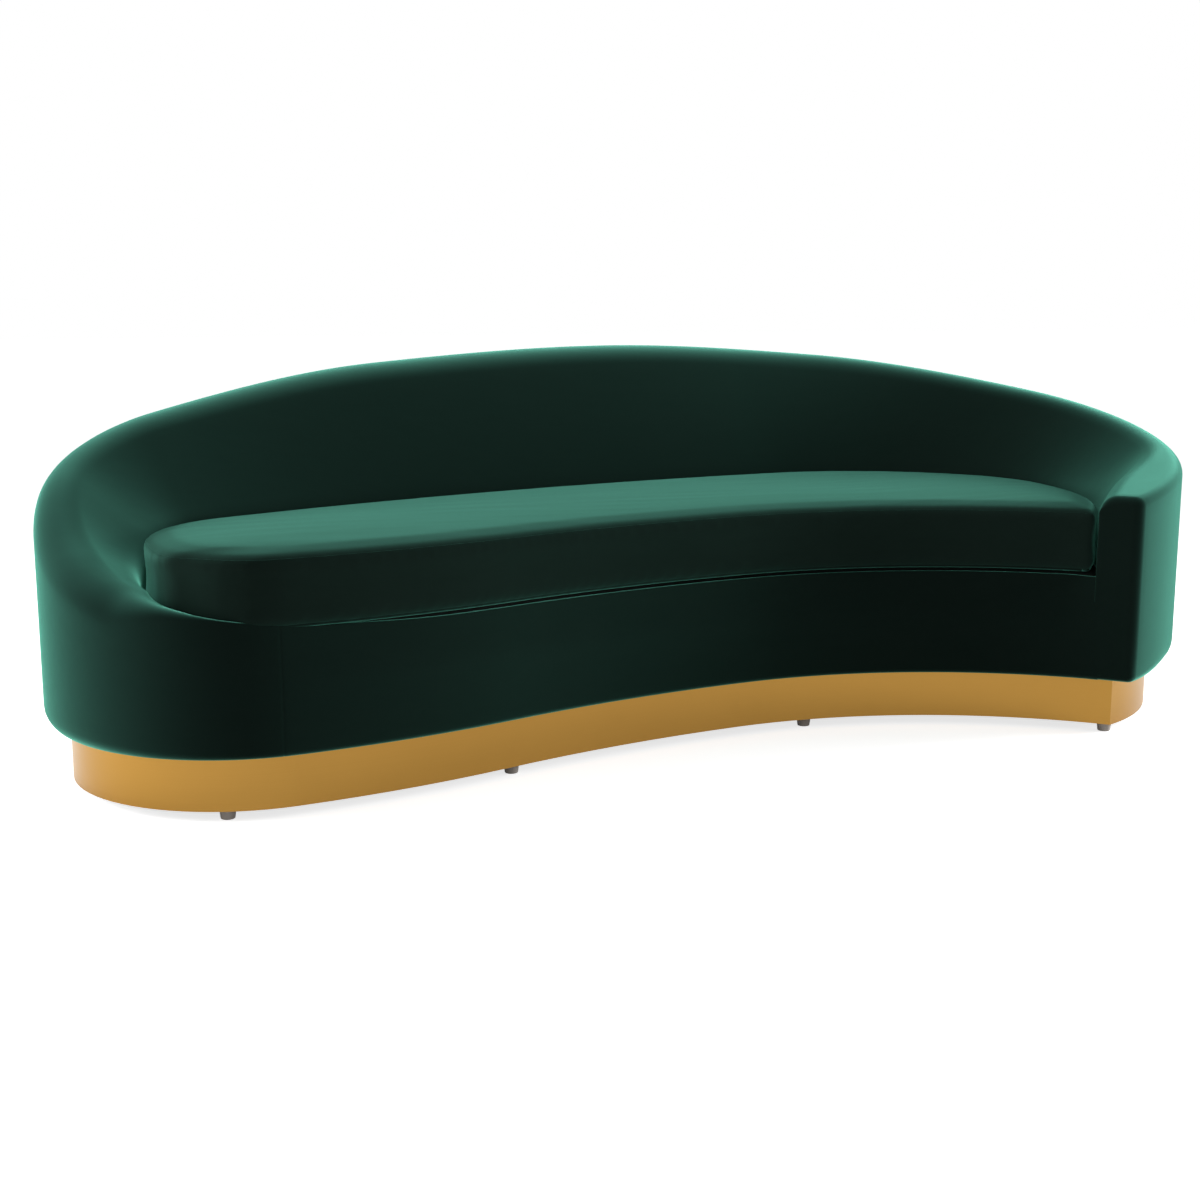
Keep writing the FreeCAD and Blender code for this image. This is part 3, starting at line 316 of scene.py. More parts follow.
def station(distance):
    """The section at a distance round from the corner; the first lies along the arm's front."""
    origin, heading = along_path(SHELL, distance)
    skew = cmath.phase(WELL_CORNER - CORNER) - WALL_HEADING - math.pi / 2
    inward = ahead(heading + math.pi / 2 + skew * max(0, 1 - distance / SQUARE_FROM) ** 2)
    rim = rim_height(distance)
    arm_share = distance / ARM_END
    to_front = (distance - WALL_END) / FRONT_CHANGE
    depth = reach(origin, inward, WELL) if distance < WALL_END else DEPTH_AT_END
    depth = blend(depth, LIP_DEPTH, to_front)
    roll = blend(ARM_ROLL, BACK_ROLL, arm_share)
    roll = min(blend(roll, END_ROLL, (distance - END_START) / LONG_CHANGE), MOST_ROLL * depth)
    roll = blend(roll, LIP_ROLL, (distance - LIP_START) / (SEAM - LIP_START))
    brow = blend(ARM_BROW, BACK_BROW, arm_share)
    brow = min(brow, MOST_BROW * depth, BROW_ROOM * (depth - roll - RIM_FLAT))
    brow_start = blend(depth - brow, roll + RIM_FLAT, arm_share)
    kink = blend(ARM_KINK, BACK_KINK, arm_share)
    if distance > END_START:
        kink = blend(END_KINK, kink, (rim - END_KINK - KINK_CLEAR) / KINK_RISE)
    kink = min(blend(kink, rim - LIP_DROP, to_front), rim - LIP_DROP)
    tuck = blend(CORNER_TUCK, WALL_TUCK, distance / CORNER_TUCK_TO)
    tuck = blend(tuck, FRONT_TUCK, (distance - SOFT_TUCK_TO) / (SEAM - SOFT_TUCK_TO))
    flange = blend(depth - EDGE_BOTTOM - FLANGE_CLEAR, WALL_FLANGE, distance / CORNER_FLANGE_TO)
    flange = blend(flange, FRONT_FLANGE, (distance - FRONT_FLANGE_FROM) / LONG_CHANGE)
    foot = blend(blend(SHELL_BOTTOM + CORNER_FOOT, WALL_FOOT, distance / FOOT_CHANGE), LIP_FOOT, to_front)
    flap = blend(blend(-CAP_GAP, WALL_FLAP, distance / FOOT_CHANGE), LIP_FLAP, to_front)
    lean = FRONT_LEAN * blend(0, 1, (distance - WALL_END) / LONG_CHANGE)
    lean *= blend(0, 1, (SHELL_LENGTH - ARM_WIDTH - distance) / LEAN_FADE)
    return Station(origin, inward, rim, depth, roll, brow, brow_start, kink, tuck, flange, foot, flap, lean)


end_point, end_heading = along_path(SHELL, WALL_END)
DEPTH_AT_END = reach(end_point, left_of(end_heading), WELL)


def line(first, last, count):
    """Points from one to another without the first."""
    return [first + (last - first) * i / count for i in range(1, count + 1)]


def arc(centre, radius, first, last, count):
    """Points on an arc between two angles in degrees, without the first."""
    return [centre + cmath.rect(radius, math.radians(first + (last - first) * i / count))
            for i in range(1, count + 1)]


def section(at):
    """The section's outline from under the shell over the rim to the well, as depth + height * 1j."""
    low = SHELL_BOTTOM * 1j
    points = [at.flange + low]
    points += line(points[-1], at.tuck + low, FLANGE_STEPS)
    points += arc(at.tuck + low + at.tuck * 1j, at.tuck, 270, 180, TUCK_STEPS)
    points += line(points[-1], (at.rim - at.roll) * 1j, WALL_STEPS)
    points += arc(at.roll + (at.rim - at.roll) * 1j, at.roll, 180, 90, ROLL_STEPS)
    points += line(points[-1], at.brow_start + at.rim * 1j, FLAT_STEPS)
    brow_centre = at.brow_start + (at.rim - at.brow) * 1j
    corner = at.depth + at.kink * 1j
    to_corner = corner - brow_centre
    brow_end = cmath.phase(to_corner) + math.acos(min(1, at.brow / abs(to_corner)))
    points += arc(brow_centre, at.brow, 90, math.degrees(brow_end), BROW_STEPS)
    above = points[-1]
    foot = at.depth + at.foot * 1j
    soft = min(KINK_SOFT, KINK_SHARE * abs(corner - above), KINK_SHARE * abs(foot - corner))
    ease_in = corner + (above - corner) / abs(above - corner) * soft
    ease_out = corner + (foot - corner) / abs(foot - corner) * soft
    points += line(above, ease_in, SLOPE_STEPS)
    for share in (0.2, 0.4, 0.6, 0.8, 1.0):
        points.append(ease_in * (1 - share) ** 2 + 2 * corner * share * (1 - share) + ease_out * share ** 2)
    points += line(ease_out, foot, FOOT_STEPS)
    points += line(foot, foot + at.flap, FLAP_STEPS)
    return [point + at.lean * blend(0, 1, 1 + (point.imag - at.rim) / LEAN_RISE) for point in points]


def drawn_in(points, amounts):
    """The outline with each point moved square to it, towards the padding."""
    moved = []
    for i, point in enumerate(points):
        along = points[min(i + 1, len(points) - 1)] - points[max(i - 1, 0)]
        moved.append(point - 1j * along / abs(along) * amounts[i])
    return moved


def placed(at, points):
    """Points of a section in space."""
    plan = [at.origin + at.inward * point.real for point in points]
    return [upright(spot, point.imag) for spot, point in zip(plan, points)]


def upright(spot, height):
    """A point of the plan at a height."""
    return Vector((spot.real, spot.imag, height))


# Making pieces

def new_piece(name, mesh, material, body):
    """An object from a bmesh, shaded smooth, with its finish and the body that carries it."""
    data = bpy.data.meshes.new(name)
    mesh.to_mesh(data)
    mesh.free()
    return finish_piece(bpy.data.objects.new(name, data), material, body)


def finish_piece(piece, material, body):
    """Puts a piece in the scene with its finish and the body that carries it."""
    if piece.name not in bpy.context.scene.collection.objects:
        bpy.context.scene.collection.objects.link(piece)
    piece.data.shade_smooth()
    piece.data.materials.clear()
    piece.data.materials.append(material)
    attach(piece, body)
    return piece


def grid_through(columns):
    """A bmesh grid drawn through columns of points, all of one length."""
    across = len(columns)
    mesh = bmesh.new()
    bmesh.ops.create_grid(mesh, x_segments=across - 1, y_segments=len(columns[0]) - 1, size=1)
    mesh.verts.index_update()
    for vert in mesh.verts:
        vert.co = columns[vert.index % across][vert.index // across]
    return mesh


# Velvet shell

CAP_BORDER = 0.003
PANEL_LAP = 0.014
PANEL_PROUD = 0.0004
PROUD_FADE = 0.030
SEWN_EDGE = 0.0006
UNDERSIDE = 0.001
EDGE_RISE = 0.06
EDGE_STEPS = 7
WALL_PITCH = 0.016
FRONT_PITCH = 0.024
SEAM_DEPTH = 0.0003
SEAM_WIDTH = 0.003
SEAM_COLUMNS = (-2, -1, -0.5, 0, 0.5, 1, 2)
SEAM_ROOM = 2.5


def edge_radius(point, at):
    """Rounding of the arm's front edge: tight where the front panel is sewn on, fuller over the arm."""
    rise = point.imag - SHELL_BOTTOM
    if point.real < 0.5 * at.depth or rise < UNDERSIDE:
        return blend(EDGE_BOTTOM, EDGE_ROUND, rise / EDGE_RISE)
    return blend(SEWN_EDGE, EDGE_ROUND, 1 + (point.imag - at.rim) / at.brow)


def shell_columns():
    """Sections from the arm's rounded front edge round the back, past the seam and along the front panel."""
    columns = []
    for i in range(EDGE_STEPS + 1):
        angle = math.pi / 2 * i / EDGE_STEPS
        at = station(EDGE_ROUND * (1 - math.cos(angle)))
        points = section(at)
        amounts = [edge_radius(point, at) * (1 - math.sin(angle)) for point in points]
        columns.append(placed(at, drawn_in(points, amounts)))
    last = SHELL_LENGTH - ARM_WIDTH + PANEL_LAP
    wall_count = round((SEAM - EDGE_ROUND) / WALL_PITCH)
    distances = [EDGE_ROUND + (SEAM - EDGE_ROUND) * i / wall_count for i in range(1, wall_count)]
    distances = [d for d in distances if abs(d - SEAM) > SEAM_ROOM * SEAM_WIDTH]
    distances += [SEAM + SEAM_WIDTH * i for i in SEAM_COLUMNS]
    front_count = round((last - SEAM) / FRONT_PITCH)
    distances += [SEAM + 2 * SEAM_WIDTH + (last - SEAM - 2 * SEAM_WIDTH) * i / front_count
                  for i in range(1, front_count + 1)]
    for distance in distances:
        at = station(distance)
        groove = SEAM_DEPTH * max(0, 1 - abs(distance - SEAM) / SEAM_WIDTH)
        groove -= PANEL_PROUD * blend(0, 1, 1 + (distance - last) / PROUD_FADE)
        points = section(at)
        columns.append(placed(at, drawn_in(points, [groove] * len(points))))
    return columns


def make_shell(material):
    columns = shell_columns()
    mesh = grid_through(columns)
    rows = len(columns[0])
    mesh.verts.ensure_lookup_table()
    across = len(columns)
    rim_of_cap = [mesh.verts[row * across] for row in range(rows)]
    cap = bmesh.ops.contextual_create(mesh, geom=rim_of_cap)["faces"]
    bmesh.ops.inset_region(mesh, faces=cap, thickness=CAP_BORDER, use_even_offset=False)
    bmesh.ops.recalc_face_normals(mesh, faces=mesh.faces)
    shell = new_piece("velvet_shell", mesh, material, "frame")
    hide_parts("outside_cover", "inside_cover", "front_cover", "arm_foam", "back_foam_right",
                "back_foam_middle", "back_foam_left", "end_foam", "outside_wadding", "front_foam",
                "front_edge_roll")


# Seat cushion and deck

SIDE_GAP = 0.006
FRONT_GAP = 0.0
CUSHION_ROUND = 0.022
LOWER_ROUND = 0.020
CROWN_RISE = 0.007
CROWN_INSET = 0.060
BOXING_DRAW = 0.004
RING_COUNT = 420
VOXEL = 0.008
PRESSURE = 4.0
COVER_QUALITY = 5
COVER_MASS = 0.3
SETTLED = 20
MOST_RISE = 0.006
MOST_BULGE = 0.0008
SMOOTHINGS = 3
STREAK_RISE = 0.0003
STREAKS_ACROSS = 5
STREAKS_DEEP = 34
TOP_FACING = 0.9
UPPER_SEAM = SEAT_HEIGHT - 0.010
LOWER_SEAM = CUSHION_BOTTOM + 0.006
UPPER_WELT = 0.0009
# The lower welt is thick so that its sheen shows as a bright strip: a painted highlight along the cushion's
# lower edge.
LOWER_WELT = 0.0040
WELT_PITCH = 0.008
WELT_SUNK = 0.6
RAY_START = 0.05
RAY_REACH = 0.12
MERGED = 1e-5
END_ARC_START = length_of(SHELL[:LEFT_END])
LIP_CLEARANCE = 0.003
LIP_FULL_TO = 3.960
LIP_FADE = 0.090


def lip_shift(spot):
    """How far the cushion's edge keeps in at the left tip, where the lip is wider than the well's edge."""
    end = shell_bends[LEFT_END]
    distance = END_ARC_START + end.radius * sweep_angle(SHELL[LEFT_END], spot)
    if not END_START < distance < LIP_FULL_TO + LIP_FADE:
        return 0
    outwards = spot - end.centre
    short = station(distance).depth + LIP_CLEARANCE - (end.radius - abs(outwards))
    return -outwards / abs(outwards) * max(0, short) * blend(1, 0, (distance - LIP_FULL_TO) / LIP_FADE)


def ringed(levels, shifts):
    """A closed form through rings of the well's outline: how far in along wall and front, and how high."""
    rings = [[upright(spot + shift, height)
              for spot, shift in zip(outline(well_path(wall, front), RING_COUNT), shifts)]
             for wall, front, height in levels]
    columns = [list(column) for column in zip(*rings)]
    mesh = grid_through(columns + columns[:1])
    bmesh.ops.remove_doubles(mesh, verts=mesh.verts, dist=MERGED)
    bmesh.ops.holes_fill(mesh, edges=mesh.edges)
    bmesh.ops.recalc_face_normals(mesh, faces=mesh.faces)
    return mesh


def rounded_edge(radius, count):
    """How far in and how far down an edge's rounding goes, from its side to its flat."""
    angles = [math.pi / 2 * i / count for i in range(count + 1)]
    return [(radius * (1 - math.cos(angle)), radius * (1 - math.sin(angle))) for angle in angles]


def cushion_levels():
    """Rings of the cushion from its bottom panel up the boxing to the crowned top."""
    edge = rounded_edge(CUSHION_ROUND, 6)
    profile = [(inward, CUSHION_BOTTOM + rise) for inward, rise in reversed(rounded_edge(LOWER_ROUND, 5))]
    middle = (CUSHION_BOTTOM + SEAT_HEIGHT) / 2
    half = middle - CUSHION_BOTTOM - CUSHION_ROUND
    for share in (-0.6, -0.2, 0.2, 0.6):
        profile.append((BOXING_DRAW * (1 - share ** 2), middle + half * share))
    profile += [(inward, SEAT_HEIGHT - drop) for inward, drop in edge]
    for share in (0.25, 0.5, 0.75, 1.0):
        inward = CUSHION_ROUND + (CROWN_INSET - CUSHION_ROUND) * share
        profile.append((inward, SEAT_HEIGHT + CROWN_RISE * math.sin(share * math.pi / 2)))
    return [(SIDE_GAP + inward, FRONT_GAP + inward, height) for inward, height in profile]


def evaluated(piece):
    """A piece's mesh with its modifiers, as a new mesh."""
    graph = bpy.context.evaluated_depsgraph_get()
    return bpy.data.meshes.new_from_object(piece.evaluated_get(graph))


def remeshed(piece, size):
    """Gives a piece an even mesh of small squares."""
    remesh = piece.modifiers.new("even", "REMESH")
    remesh.mode = "VOXEL"
    remesh.voxel_size = size
    mesh = evaluated(piece)
    piece.modifiers.clear()
    piece.data = mesh


def puffed(piece):
    """Lets a sewn cover swell between its seams, within a few millimetres."""
    start = [vert.co.copy() for vert in piece.data.vertices]
    sewn = piece.vertex_groups.new(name="sewn")
    on_seam = [i for i, place in enumerate(start)
               if min(abs(place.z - UPPER_SEAM), abs(place.z - LOWER_SEAM)) < 0.5 * VOXEL]
    sewn.add(on_seam, 1.0, "REPLACE")
    cloth = piece.modifiers.new("cover", "CLOTH")
    cloth.settings.quality = COVER_QUALITY
    cloth.settings.mass = COVER_MASS
    cloth.settings.vertex_group_mass = "sewn"
    cloth.settings.use_pressure = True
    cloth.settings.uniform_pressure_force = PRESSURE
    cloth.settings.effector_weights.gravity = 0
    cloth.collision_settings.use_collision = False
    for step in range(1, SETTLED + 1):
        bpy.context.scene.frame_set(step)
    swollen = evaluated(piece)
    moves = [vert.co - place for vert, place in zip(swollen.vertices, start)]
    piece.modifiers.clear()
    piece.vertex_groups.clear()
    bpy.context.scene.frame_set(1)
    most = max(max(move.z for move in moves), MOST_RISE)
    for vert, place, move in zip(piece.data.vertices, start, moves):
        aside = Vector((move.x, move.y, 0))
        if aside.length > MOST_BULGE:
            aside *= MOST_BULGE / aside.length
        rise = max(move.z, 0) * MOST_RISE / most
        vert.co = place + aside + Vector((0, 0, rise))


def make_cushion(material, highlight_welt_material):
    data = bpy.data.meshes.new("seat_cushion")
    shifts = [lip_shift(spot) for spot in outline(well_path(SIDE_GAP, FRONT_GAP), RING_COUNT)]
    mesh = ringed(cushion_levels(), shifts)
    mesh.to_mesh(data)
    mesh.free()
    cushion = bpy.data.objects.new("seat_cushion", data)
    bpy.context.scene.collection.objects.link(cushion)
    remeshed(cushion, VOXEL)
    puffed(cushion)
    smoothed = bmesh.new()
    smoothed.from_mesh(cushion.data)
    for repeat in range(SMOOTHINGS):
        bmesh.ops.smooth_vert(smoothed, verts=smoothed.verts, factor=0.5, use_axis_x=True, use_axis_y=True,
                              use_axis_z=True)
    smoothed.normal_update()
    for vert in smoothed.verts:
        if vert.normal.z > TOP_FACING:
            place = Vector((vert.co.x * STREAKS_ACROSS, vert.co.y * STREAKS_DEEP, 0))
            vert.co.z += STREAK_RISE * noise.noise(place)
    surface = BVHTree.FromBMesh(smoothed)
    smoothed.to_mesh(cushion.data)
    smoothed.free()
    finish_piece(cushion, material, "cushion")
    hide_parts("cushion_bottom_panel", "cushion_boxing", "cushion_top_panel", "cushion_core")
    make_seam("upper_seam", UPPER_SEAM, UPPER_WELT, surface, material)
    # The lower welt wears the shell's full-sheen velvet, not the seat's: a painted highlight for the light
    # strip along the cushion's lower edge.
    make_seam("lower_seam", LOWER_SEAM, LOWER_WELT, surface, highlight_welt_material)


def make_seam(name, level, radius, surface, material):
    """A sewn welt round the cushion, laid on its surface and partly sunk into it."""
    path = well_path(0, 0)
    length = length_of(path)
    count = round(length / WELT_PITCH)
    points = []
    for i in range(count):
        spot, heading = along_path(path, length * (i + 0.5) / count)
        inward = upright(left_of(heading), 0)
        hit = surface.ray_cast(upright(spot, level) - inward * RAY_START, inward, RAY_REACH)[0]
        if hit:
            points.append(hit + inward * WELT_SUNK * radius)
    curve = bpy.data.curves.new(name, "CURVE")
    curve.dimensions = "3D"
    curve.bevel_depth = radius
    curve.bevel_resolution = 3
    spline = curve.splines.new("POLY")
    spline.points.add(len(points) - 1)
    for place, point in zip(spline.points, points):
        place.co = (*point, 1.0)
    spline.use_cyclic_u = True
    drawn = bpy.data.objects.new(name + "_path", curve)
    bpy.context.scene.collection.objects.link(drawn)
    bpy.context.view_layer.update()
    welt = bpy.data.objects.new(name, evaluated(drawn))
    bpy.data.objects.remove(drawn)
    finish_piece(welt, material, "cushion")


DECK_WALL_GAP = 0.003
DECK_FRONT = 0.036
DECK_ROUND = 0.010
DECK_LOWER_EDGE = 0.004


def make_deck(material):
    """The sprung deck under the cushion: a firm pad in a plain cotton cover."""
    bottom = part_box("deck_pad")[0][2]
    profile = [(DECK_ROUND, bottom), (0, bottom + DECK_LOWER_EDGE)]
    profile += [(inward, DECK_TOP - drop) for inward, drop in rounded_edge(DECK_ROUND, 5)]
    levels = [(DECK_WALL_GAP + inward, DECK_FRONT + inward, height) for inward, height in profile]
    deck = new_piece("deck", ringed(levels, [0] * RING_COUNT), material, "frame")
    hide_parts("deck_pad", "deck_cover")


# Zip at the back of the cushion

ZIP_LEVEL = (CUSHION_BOTTOM + SEAT_HEIGHT) / 2
TAPE_OUT = 0.0026
ZIP_FACE = SIDE_GAP + BOXING_DRAW - TAPE_OUT
ZIP_HEADINGS = (187.0, 204.0)
TOOTH_PITCH = 0.0032
TOOTH_SIZE = (0.0018, 0.0014, 0.0062)
PULL_HEADING = 187.5
PULL_SIZE = (0.007, 0.0014, 0.026)
TOOTH_OUT = 0.0001
PULL_OUT = 0.0026
PULL_EDGE = 0.0005


def zip_place(heading, stands_out):
    """A turned place on the zip, at a heading of the back's arc."""
    angle = math.radians(heading)
    spot = back_inner.centre - left_of(angle) * (back_inner.radius - ZIP_FACE + stands_out)
    return Matrix.Translation(upright(spot, ZIP_LEVEL)) @ Matrix.Rotation(angle, 4, "Z")


def add_block(mesh, size, place):
    """Adds a block of a size at a turned place."""
    bmesh.ops.create_cube(mesh, size=1, matrix=place @ Matrix.Diagonal((*size, 1)))


def make_zip(material, pull_material):
    first, last = ZIP_HEADINGS
    count = round(math.radians(last - first) * back_inner.radius / TOOTH_PITCH)
    teeth = bmesh.new()
    for i in range(count):
        heading = first + (last - first) * (i + 0.5) / count
        add_block(teeth, TOOTH_SIZE, zip_place(heading, TOOTH_OUT))
    new_piece("zip_teeth", teeth, material, "cushion")
    pull = bmesh.new()
    hang = Matrix.Translation((0, 0, -0.5 * PULL_SIZE[2]))
    add_block(pull, PULL_SIZE, zip_place(PULL_HEADING, PULL_OUT) @ hang)
    bmesh.ops.bevel(pull, geom=pull.edges, offset=PULL_EDGE, affect="EDGES", segments=2, profile=0.5,
                    material=-1)
    new_piece("zip_pull", pull, pull_material, "zip_slider")


# Materials

class Sock:
    """A shader socket that adds Math nodes for the operators used on it."""

    def __init__(self, tree, socket):
        self.tree = tree
        self.socket = socket

    def node(self, kind, settings=None, **values):
        """A node of any kind: settings first, then values or links by socket name, or by i and a number."""
        made = self.tree.nodes.new(kind)
        for key, value in (settings or {}).items():
            setattr(made, key, value)
        for key, value in values.items():
            numbered = key[0] == "i" and key[1:].isdigit()
            socket = made.inputs[int(key[1:]) if numbered else key.replace("_", " ")]
            if isinstance(value, Sock):
                self.tree.links.new(value.socket, socket)
            else:
                socket.default_value = value
        return made

    def out(self, made, name=0):
        return Sock(self.tree, made.outputs[name])

    def maths(self, operation, first, second=0.0):
        return self.out(self.node("ShaderNodeMath", {"operation": operation}, i0=first, i1=second))

    def __add__(self, other):
        return self.maths("ADD", self, other)

    __radd__ = __add__

    def __mul__(self, other):
        return self.maths("MULTIPLY", self, other)

    __rmul__ = __mul__

    def mix(self, low, high):
        """A colour between two, by this socket."""
        return self.out(self.node("ShaderNodeMix", {"data_type": "RGBA"}, i0=self, i6=low, i7=high), 2)

    def noise(self, scale, detail=2.0, roughness=0.5):
        """Noise that reads this socket as its place."""
        return self.out(self.node("ShaderNodeTexNoise", Vector=self, Scale=scale, Detail=detail,
                                  Roughness=roughness), "Fac")

    def stretched(self, scale):
        """This place with its axes scaled."""
        return self.out(self.node("ShaderNodeMapping", Vector=self, Scale=scale))

    def bump(self, strength, distance):
        """A normal from this height."""
        return self.out(self.node("ShaderNodeBump", Height=self, Strength=strength, Distance=distance))


def colour(red, green, blue):
    return (red, green, blue, 1.0)


def new_material(name, **constants):
    """A material with constants on its shader; also the place on the object, and what links sockets to it."""
    material = bpy.data.materials.new(name)
    material.use_nodes = True
    tree = material.node_tree
    shader = tree.nodes["Principled BSDF"]
    for key, value in constants.items():
        shader.inputs[key.replace("_", " ")].default_value = value
    place = Sock(tree, tree.nodes.new("ShaderNodeTexCoord").outputs["Object"])

    def feed(**links):
        for key, value in links.items():
            tree.links.new(value.socket, shader.inputs[key.replace("_", " ")])

    return material, place, feed


def brushed_gold():
    """Satin brass-coloured sheet, brushed along the band."""
    material, place, feed = new_material("gold_metal", Metallic=1.0)
    brushed = place.stretched((3.0, 3.0, 900.0)).noise(1.0, 3.0)
    worn = place.noise(5.0, 3.0)
    shade = brushed * 0.5 + worn * 0.5
    feed(Base_Color=shade.mix(colour(0.390, 0.205, 0.043), colour(0.450, 0.245, 0.054)),
         Roughness=0.24 + brushed * 0.09 + worn * 0.06,
         Normal=brushed.bump(0.08, 0.0003))
    return material


def grey_glide():
    """Hard grey plastic with fine grain and scuffs."""
    material, place, feed = new_material("glide_grey", Specular_IOR_Level=0.4)
    grain = place.noise(420.0, 2.0)
    scuffs = place.noise(38.0, 4.0)
    feed(Base_Color=scuffs.mix(colour(0.400, 0.355, 0.320), colour(0.500, 0.450, 0.410)),
         Roughness=0.48 + grain * 0.2,
         Normal=grain.bump(0.15, 0.0003))
    return material


def bright_steel():
    """Drawn steel wire and plated fasteners, a little stained."""
    material, place, feed = new_material("bright_steel", Metallic=1.0)
    drawn = place.noise(260.0, 2.0)
    stains = place.noise(24.0, 4.0)
    feed(Base_Color=stains.mix(colour(0.50, 0.50, 0.49), colour(0.66, 0.66, 0.65)),
         Roughness=0.24 + drawn * 0.16,
         Normal=drawn.bump(0.06, 0.0002))
    return material


def plywood():
    """Pale birch board with long grain and dark plies on its edges."""
    material, place, feed = new_material("plywood", Specular_IOR_Level=0.3)
    grain = place.stretched((3.0, 60.0, 60.0)).noise(1.5, 5.0, 0.6)
    plies = place.stretched((0.0, 0.0, 330.0)).noise(1.0, 0.0)
    shade = grain * 0.75 + plies * 0.25
    feed(Base_Color=shade.mix(colour(0.34, 0.20, 0.10), colour(0.66, 0.48, 0.29)),
         Roughness=0.55 + grain * 0.2,
         Normal=grain.bump(0.2, 0.0004))
    return material


def woven(name, dark, light, threads):
    """Plain woven cloth: crossing threads and a little unevenness."""
    material, place, feed = new_material(name, Specular_IOR_Level=0.1)
    warp = place.stretched((threads, 8.0, 8.0)).noise(1.0, 1.0)
    weft = place.stretched((8.0, threads, threads)).noise(1.0, 1.0)
    uneven = place.noise(14.0, 3.0)
    weave = warp * 0.5 + weft * 0.5
    feed(Base_Color=(weave * 0.6 + uneven * 0.4).mix(dark, light),
         Roughness=0.82 + weave * 0.15,
         Normal=weave.bump(0.35, 0.0004))
    return material


FINISH_OF = {
    "plinth_skirt": "gold_metal", "foot": "glide_grey", "dust_cover": "dust_cloth", "zip_tape": "zip_tape",
    "foot_screws": "bright_steel", "plinth_bolts": "bright_steel", "springs": "bright_steel",
    "spring_clips": "bright_steel", "zip_slider": "bright_steel",
    "plinth_floor": "plywood", "plinth_wall": "plywood", "plinth_top": "plywood", "plinth_ribs": "plywood",
    "seat_board": "plywood", "front_rail": "plywood", "rear_rail": "plywood", "seat_rib": "plywood",
    "back_rib": "plywood", "top_rail": "plywood", "outer_panel": "plywood", "end_shelf": "plywood",
    "arm_front_board": "plywood",
}


def dress_frame():
    """Finishes for the solids that show as they are."""
    for name, node in nodes.items():
        kind = FINISH_OF.get(name.rstrip("0123456789").rstrip("_"))
        if kind:
            node.data.materials.clear()
            node.data.materials.append(finishes[kind])


def velvet_finish(name, sheen, dark, light):
    """Short dense pile: nearly black seen square on, bright green seen along the surface."""
    material, place, feed = new_material(
        name, Specular_IOR_Level=0.0, Sheen_Weight=sheen, Sheen_Roughness=0.43,
        Sheen_Tint=colour(0.28, 1.0, 0.76))
    brushed = place.noise(3.0, 3.0)
    pile = place.noise(1400.0, 1.0)
    streaks = place.stretched((6.0, 40.0, 40.0)).noise(1.0, 3.0)
    shade = brushed * 0.6 + streaks * 0.4
    feed(Base_Color=shade.mix(dark, light),
         Roughness=0.86 + pile * 0.14,
         Normal=(pile + brushed * 0.4 + streaks * 2.2).bump(0.25, 0.0004))
    return material


# Stage

CAMERA_LENS = 50.0
CAMERA_SENSOR = 36.0
CAMERA_PLACE = (-1.1938, -3.1766, 0.8625)
CAMERA_TILT = math.radians(79.54)
CAMERA_TURN = math.radians(-19.5)
WORLD_LIGHT = 0.36
FLOOR_SIZE = 30
FLOOR_GREY = 0.82
FLOOR_GLOW = 0.75
FLOOR_MIRRORED = 0.62

# Soft round lamps: name, place, aim, size and power
LAMPS = [
    ("top_lamp", (-1.2, 1.0, 2.6), (-0.6, 0, 0.4), 1.2, 44),
    ("left_lamp", (-3.2, 0.2, 1.0), (-0.9, 0, 0.4), 1.4, 48),
    ("right_lamp", (3.2, -0.8, 0.9), (0.9, -0.2, 0.4), 1.4, 75),
]


def make_camera():
    """The camera at the photograph's viewing angle."""
    data = bpy.data.cameras.new("camera")
    data.lens = CAMERA_LENS
    data.sensor_width = CAMERA_SENSOR
    camera = bpy.data.objects.new("camera", data)
    camera.location = CAMERA_PLACE
    camera.rotation_euler = (CAMERA_TILT, 0, CAMERA_TURN)
    bpy.context.scene.collection.objects.link(camera)
    bpy.context.scene.camera = camera


def make_lamp(name, place, aim, size, power):
    data = bpy.data.lights.new(name, "AREA")
    data.shape = "DISK"
    data.size = size
    data.energy = power
    lamp = bpy.data.objects.new(name, data)
    lamp.location = place
    lamp.rotation_euler = (Vector(aim) - Vector(place)).to_track_quat("-Z", "Y").to_euler()
    bpy.context.scene.collection.objects.link(lamp)


def rays_seen(tree, mirrored_share):
    """1 for what the camera sees straight or through glass, and a share for what it sees in a reflection."""
    path = tree.nodes.new("ShaderNodeLightPath")
    straight, mirrored, through = (Sock(tree, path.outputs[name])
                                   for name in ("Is Camera Ray", "Is Glossy Ray", "Is Transmission Ray"))
    return straight.maths("MAXIMUM", straight.maths("MAXIMUM", straight, mirrored * mirrored_share), through)


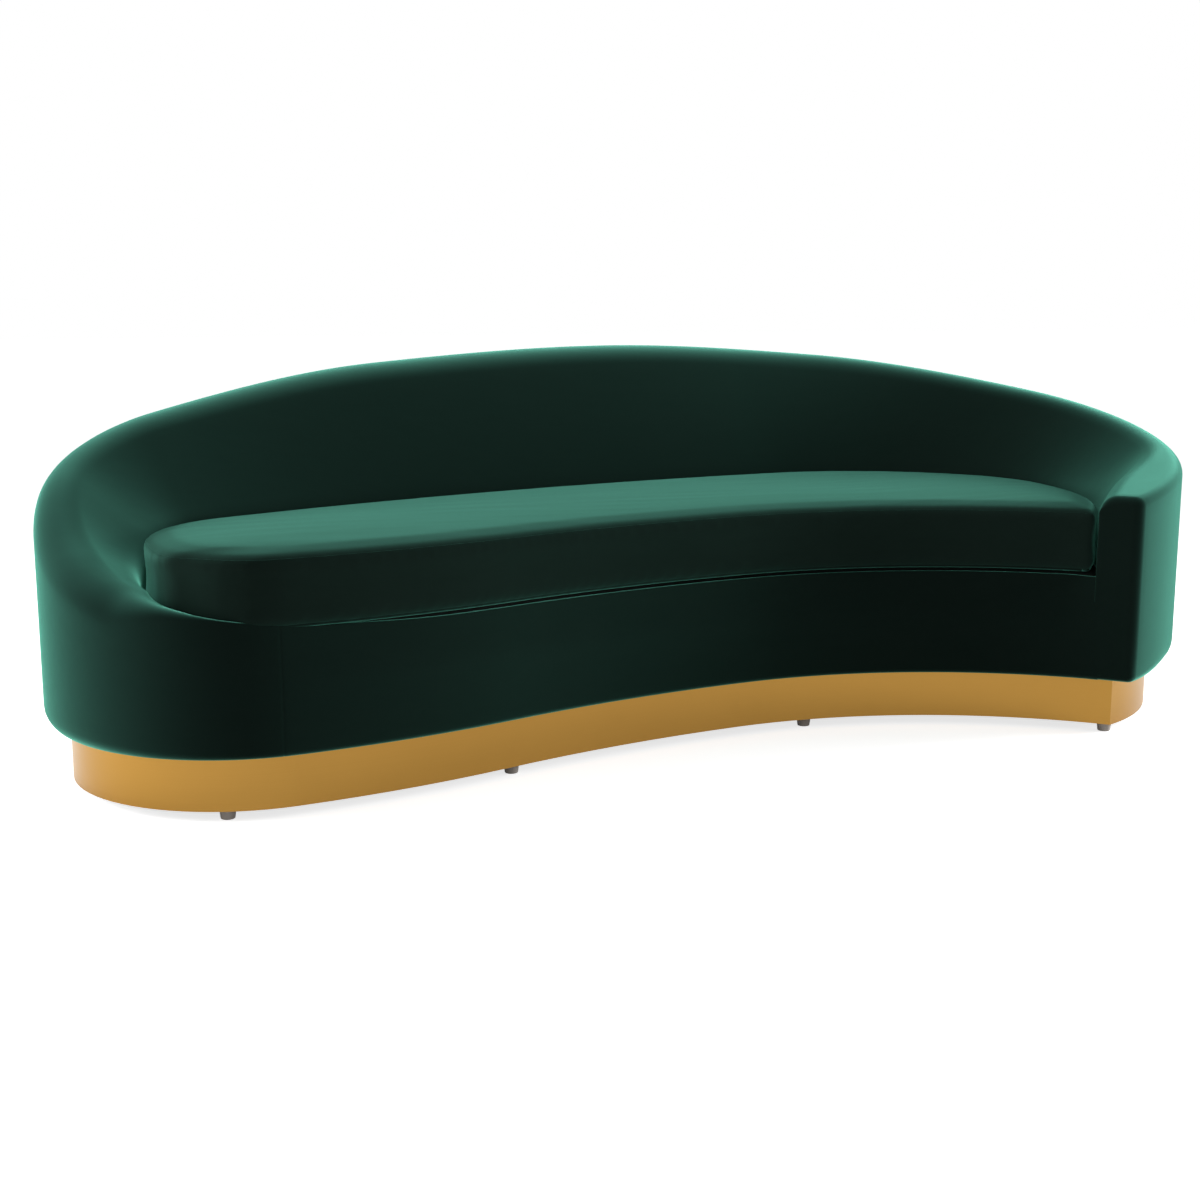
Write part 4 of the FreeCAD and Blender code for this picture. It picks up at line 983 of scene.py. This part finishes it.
def make_stage():
    """White surroundings, a pale floor that keeps the shadow, and the lamps."""
    scene = bpy.context.scene
    scene.view_settings.view_transform = "Standard"
    world = bpy.data.worlds.new("studio")
    scene.world = world
    world.use_nodes = True
    tree = world.node_tree
    background = tree.nodes["Background"]
    background.inputs["Color"].default_value = colour(1.0, 1.0, 1.0)
    seen = rays_seen(tree, 1.0)
    tree.links.new((WORLD_LIGHT + seen * (1 - WORLD_LIGHT)).socket, background.inputs["Strength"])
    mesh = bmesh.new()
    bmesh.ops.create_grid(mesh, x_segments=1, y_segments=1, size=FLOOR_SIZE)
    data = bpy.data.meshes.new("floor")
    mesh.to_mesh(data)
    mesh.free()
    floor = bpy.data.objects.new("floor", data)
    scene.collection.objects.link(floor)
    grey = colour(FLOOR_GREY, FLOOR_GREY, FLOOR_GREY)
    material, place, feed = new_material("pale_floor", Roughness=0.9, Specular_IOR_Level=0.0,
                                         Base_Color=grey, Emission_Strength=1.0)
    feed(Emission_Color=rays_seen(place.tree, FLOOR_MIRRORED) * FLOOR_GLOW)
    data.materials.append(material)
    for lamp in LAMPS:
        make_lamp(*lamp)


finishes = {
    "velvet": velvet_finish("velvet", 1.0, colour(0.0034, 0.0042, 0.0037), colour(0.0066, 0.0078, 0.0069)),
    # The seat's velvet is a shaded copy of the shell's velvet. Its sheen is turned down so the cushion's top
    # renders darker: painted shade. Its base colour is raised so the sides keep their brightness.
    "shaded_seat_velvet": velvet_finish("shaded_seat_velvet", 0.37, colour(0.0065, 0.0120, 0.0094),
                                 colour(0.0110, 0.0190, 0.0155)),
    "gold_metal": brushed_gold(),
    "glide_grey": grey_glide(),
    "bright_steel": bright_steel(),
    "plywood": plywood(),
    "dust_cloth": woven("dust_cloth", colour(0.012, 0.012, 0.013), colour(0.030, 0.030, 0.032), 700.0),
    "deck_cloth": woven("deck_cloth", colour(0.020, 0.026, 0.024), colour(0.045, 0.055, 0.050), 900.0),
    "zip_tape": woven("zip_tape", colour(0.008, 0.014, 0.012), colour(0.022, 0.034, 0.030), 1600.0),
}
make_camera()
make_stage()
make_shell(finishes["velvet"])
make_cushion(finishes["shaded_seat_velvet"], finishes["velvet"])
make_deck(finishes["deck_cloth"])
make_zip(finishes["zip_tape"], finishes["bright_steel"])
dress_frame()
